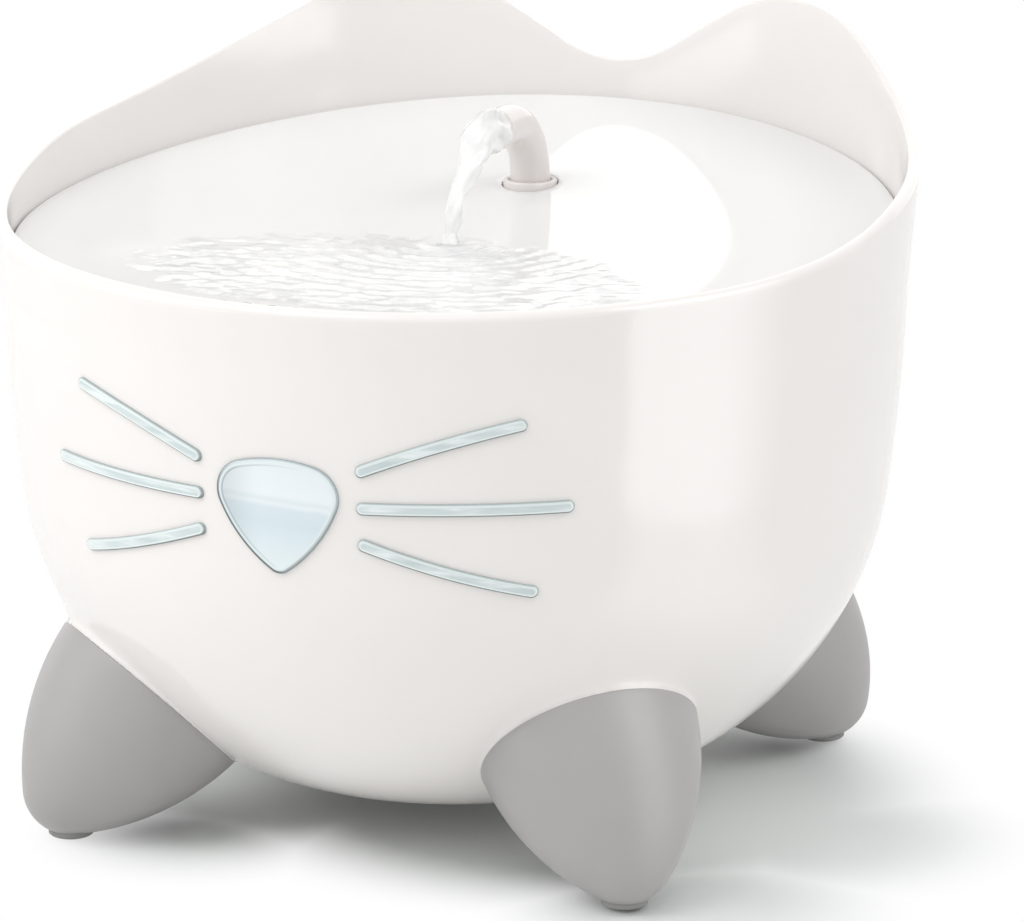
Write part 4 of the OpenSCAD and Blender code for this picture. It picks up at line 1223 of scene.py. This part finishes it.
dress(spout_tube, plastic("spout_gloss", (0.81, 0.765, 0.75), 0.16, tone=0.008, peel=0.015,
                          rough_range=0.03, grain=0.01))
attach(spout_tube, "spout")
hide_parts("spout")
dress(nodes["spout_o_ring"], plastic("ring_rubber", (0.03, 0.03, 0.03), 0.5, tone=0.1, peel=0.1,
                                     grain=0.1, specular=0.4))

# ---- Water ----
# Water leaves the spout as a thick clear rope, thins as it falls and spreads ripples over the
# pool in the dish. More of it stands in the tank under the tray.


def water(name, tint, ripple, ripple_scale, clear=1.0):
    """clear water with fine ripples that lets the lamps through"""
    mat, tree, bsdf = new_material(name)
    bsdf.inputs["Base Color"].default_value = (*tint, 1)
    bsdf.inputs["Roughness"].default_value = 0.03
    bsdf.inputs["IOR"].default_value = 1.33
    bsdf.inputs["Transmission Weight"].default_value = clear
    spot = add_node(tree, "ShaderNodeTexCoord").outputs["Object"]
    noise = add_node(tree, "ShaderNodeTexNoise", Scale=ripple_scale, Detail=4.0, Distortion=0.6,
                     Vector=spot)
    bump = add_node(tree, "ShaderNodeBump", Strength=ripple, Distance=0.0006,
                    Height=noise.outputs["Fac"])
    put(tree, bsdf.inputs["Normal"], bump.outputs["Normal"])
    path = add_node(tree, "ShaderNodeLightPath")
    mix = two_shaders(tree, path.outputs["Is Shadow Ray"], bsdf,
                      add_node(tree, "ShaderNodeBsdfTransparent"))
    mix.name = "see_through"
    return mat


# y, height and radius of the stream, from inside the spout down to the pool
STREAM = ((28.6, 166.6, 3.45), (27.2, 166.7, 3.6), (26.2, 166.8, 4.7), (23.8, 167.1, 5.3),
          (20.8, 167.1, 5.2), (17.8, 166.5, 4.9), (15.2, 165.2, 4.4), (12.8, 163.4, 3.7),
          (10.2, 161.2, 3.2), (7.4, 159.0, 2.8), (4.6, 157.0, 2.5), (2.2, 155.0, 2.1),
          (0.4, 153.2, 1.9), (-1.0, 151.2, 2.2), (-1.9, 149.0, 2.2), (-2.5, 147.0, 1.8),
          (-2.9, 145.4, 1.6), (-3.4, 143.9, 2.6), (-3.5, 143.3, 3.4))
STREAM_SIDES = 48
fine = []
for j in range(len(STREAM) - 1):
    p = [np.array(STREAM[max(0, min(len(STREAM) - 1, j + d))]) for d in (-1, 0, 1, 2)]
    for k in range(5):
        s = k / 5
        fine.append(0.5 * (2 * p[1] + (p[2] - p[0]) * s + (2 * p[0] - 5 * p[1] + 4 * p[2] - p[3])
                           * s * s + (3 * p[1] - p[0] - 3 * p[2] + p[3]) * s ** 3))
fine.append(np.array(STREAM[-1]))
rings = [[(0, *fine[0][:2])] * STREAM_SIDES]
for j, (y, z, r) in enumerate(fine):
    step = fine[min(len(fine) - 1, j + 1)] - fine[max(0, j - 1)]
    turn = math.atan2(-step[0], step[1])
    ring = []
    for k in range(STREAM_SIDES):
        a = 2 * math.pi * k / STREAM_SIDES
        fold = 1 + 0.10 * math.sin(3 * a + j * 0.21) + 0.06 * math.sin(5 * a - j * 0.33 + 1)
        across, along = r * fold * math.cos(a), r * fold * math.sin(a)
        ring.append((across, y + along * math.cos(turn), z + along * math.sin(turn)))
    rings.append(ring)
rings.append([(0, *fine[-1][:2])] * STREAM_SIDES)
water_stream = swept("water_stream", rings)
dress(water_stream, water("stream_water", (0.96, 0.962, 0.96), 0.45, 260, 0.35))
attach(water_stream, "spout")

POOL_Z = 143.5
POOL_A = 70.6
POOL_B = 43.8
LAND_Y = -3.4
WAVES = 20
WAVE_LONG = 13.0
rng = np.random.default_rng(7)
wave_dir = rng.uniform(0, 2 * math.pi, WAVES)
wave_len = rng.uniform(4.0, WAVE_LONG, WAVES)
wave_phase = rng.uniform(0, 2 * math.pi, WAVES)


def pool_height(x, y, edge):
    """the pool's surface: rings from where the stream lands, broken up by crossing waves"""
    calm = np.clip((1 - edge) / 0.16, 0, 1)
    away = np.hypot(x, y - LAND_Y)
    ring_wave = np.sin(away / 5.6 * 2 * math.pi) * np.exp(-away / 38) * 0.30
    chop = np.zeros_like(x)
    for d, l, f in zip(wave_dir, wave_len, wave_phase):
        chop += l / WAVE_LONG * np.sin(
            (x * math.cos(d) + y * math.sin(d)) / l * 2 * math.pi + f
            + 1.6 * np.sin(x / 17 + f) + 1.3 * np.sin(y / 13 - f))
    return POOL_Z + (ring_wave + chop * 0.045) * calm


POOL_AROUND = 420
POOL_OUT = 96
POOL_UNDER = 24
POOL_OVER = 1.04
pool_turns = np.linspace(0, 2 * math.pi, POOL_AROUND, endpoint=False)
rings = []
for j in range(POOL_OUT + 1):
    s = (j / POOL_OUT) ** 0.7 * POOL_OVER
    x, y = POOL_A * s * np.cos(pool_turns), DISH_Y + POOL_B * s * np.sin(pool_turns)
    rings.append(np.stack([x, y, pool_height(x, y, np.full_like(x, s))], 1).tolist())
for j in range(POOL_UNDER, -1, -1):
    s = j / POOL_UNDER * POOL_OVER
    x, y = POOL_A * s * np.cos(pool_turns), DISH_Y + POOL_B * s * np.sin(pool_turns)
    rings.append([(a, b, dish(a, b) - 0.35) for a, b in zip(x, y)])
pool = swept("pool_surface", rings)
co = points_of(pool)
store(pool, "shore", np.hypot(co[:, 0] / POOL_A, (co[:, 1] - DISH_Y) / POOL_B))
pool_mat = water("pool_water", (0.96, 0.965, 0.965), 0.35, 130)
tree = pool_mat.node_tree
spot = add_node(tree, "ShaderNodeTexCoord").outputs["Object"]
# painted light: pale patches and thin darker lines between them, painted in where the ripples would
# reflect and bend the light
stretch = add_node(tree, "ShaderNodeMapping", Vector=spot, Scale=(0.75, 1.35, 1.0))
patch = add_node(tree, "ShaderNodeTexNoise", Scale=62.0, Detail=3.0, Distortion=1.4,
                 Vector=stretch.outputs[0])
put(tree, tree.nodes["Principled BSDF"].inputs["Base Color"],
    ramp_of(tree, [(0.0, (0.86, 0.865, 0.87)), (0.44, (0.88, 0.885, 0.89)),
                   (0.485, (0.74, 0.75, 0.76)), (0.51, (0.98, 0.985, 0.985)),
                   (0.64, (1.0, 1.0, 1.0)), (0.67, (0.84, 0.85, 0.855)),
                   (0.70, (0.99, 0.99, 0.99))], patch.outputs["Fac"]))
# toward the shore the film of water breaks up and ends
ragged = add_node(tree, "ShaderNodeTexNoise", Scale=110.0, Detail=3.0, Vector=spot)
sway = worked_out(tree, "MULTIPLY_ADD", ragged.outputs["Fac"], 0.5, stored(tree, "shore"))
gone = worked_out(tree, "MAXIMUM", ranged(tree, sway, 1.12, 1.2),
                  tree.nodes["Light Path"].outputs["Is Shadow Ray"])
put(tree, tree.nodes["see_through"].inputs["Fac"], gone)
dress(pool, pool_mat)
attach(pool, "tray")

WATER_LINE = 102.5
line = shell_line(WALL + 0.1, WATER_LINE, 1)
tank_water = turned("tank_water", line + [(60, WATER_LINE), (0, WATER_LINE)], 180)
bpy.ops.object.shade_smooth_by_angle(angle=math.radians(30))
dress(tank_water, water("tank_water_clear", (0.93, 0.965, 0.975), 0.15, 60))
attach(tank_water, "tank")

# ---- Pump ----
# A small submersible pump stands on four suction cups on the tank's floor: a dark housing potted
# with resin round the motor, a magnet rotor with an impeller, a slotted cover and a flow dial.
PUMP_PARTS = (
    ("pump_body", "pump_plastic", (0.035, 0.037, 0.04), 0.38, dict(tone=0.12, peel=0.1, grain=0.2)),
    ("pump_cover", "cover_plastic", (0.05, 0.052, 0.056), 0.42,
     dict(tone=0.12, peel=0.1, grain=0.2)),
    ("pump_potting", "potting_resin", (0.02, 0.02, 0.022), 0.2,
     dict(tone=0.3, peel=0.3, peel_scale=90)),
    ("stator_core", "core_laminations", (0.4, 0.4, 0.41), 0.35,
     dict(tone=0.2, patch=900, metallic=1.0, peel=0.2)),
    ("stator_coil", "coil_copper", (0.65, 0.3, 0.14), 0.3,
     dict(tone=0.25, patch=900, metallic=1.0, peel=0.4, peel_scale=1400)),
    ("pump_cable_gland", "gland_rubber", (0.2, 0.2, 0.2), 0.6,
     dict(tone=0.08, peel=0.1, grain=0.15)),
    ("flow_dial", "dial_plastic", (0.16, 0.36, 0.5), 0.36, dict(tone=0.05, peel=0.08, grain=0.1)),
    ("impeller", "impeller_plastic", (0.76, 0.76, 0.74), 0.35,
     dict(tone=0.03, peel=0.06, grain=0.05)),
    ("rotor_magnet", "magnet_ferrite", (0.045, 0.045, 0.047), 0.55,
     dict(tone=0.3, patch=400, peel=0.2, grain=0.4)),
    ("rotor_shaft", "shaft_ceramic", (0.82, 0.82, 0.8), 0.12, dict(tone=0.02, peel=0.01)),
    ("shaft_bushings", "bushing_rubber", (0.03, 0.03, 0.03), 0.55,
     dict(tone=0.1, peel=0.1, grain=0.1)),
    ("suction_cups", "cup_silicone", (0.62, 0.65, 0.66), 0.35,
     dict(tone=0.04, peel=0.05, grain=0.03)),
    ("riser_tube", "riser_silicone", (0.6, 0.66, 0.69), 0.3,
     dict(tone=0.04, peel=0.05, grain=0.03)))
for node_name, material_name, colour, rough, finish in PUMP_PARTS:
    dress(nodes[node_name], plastic(material_name, colour, rough, **finish))
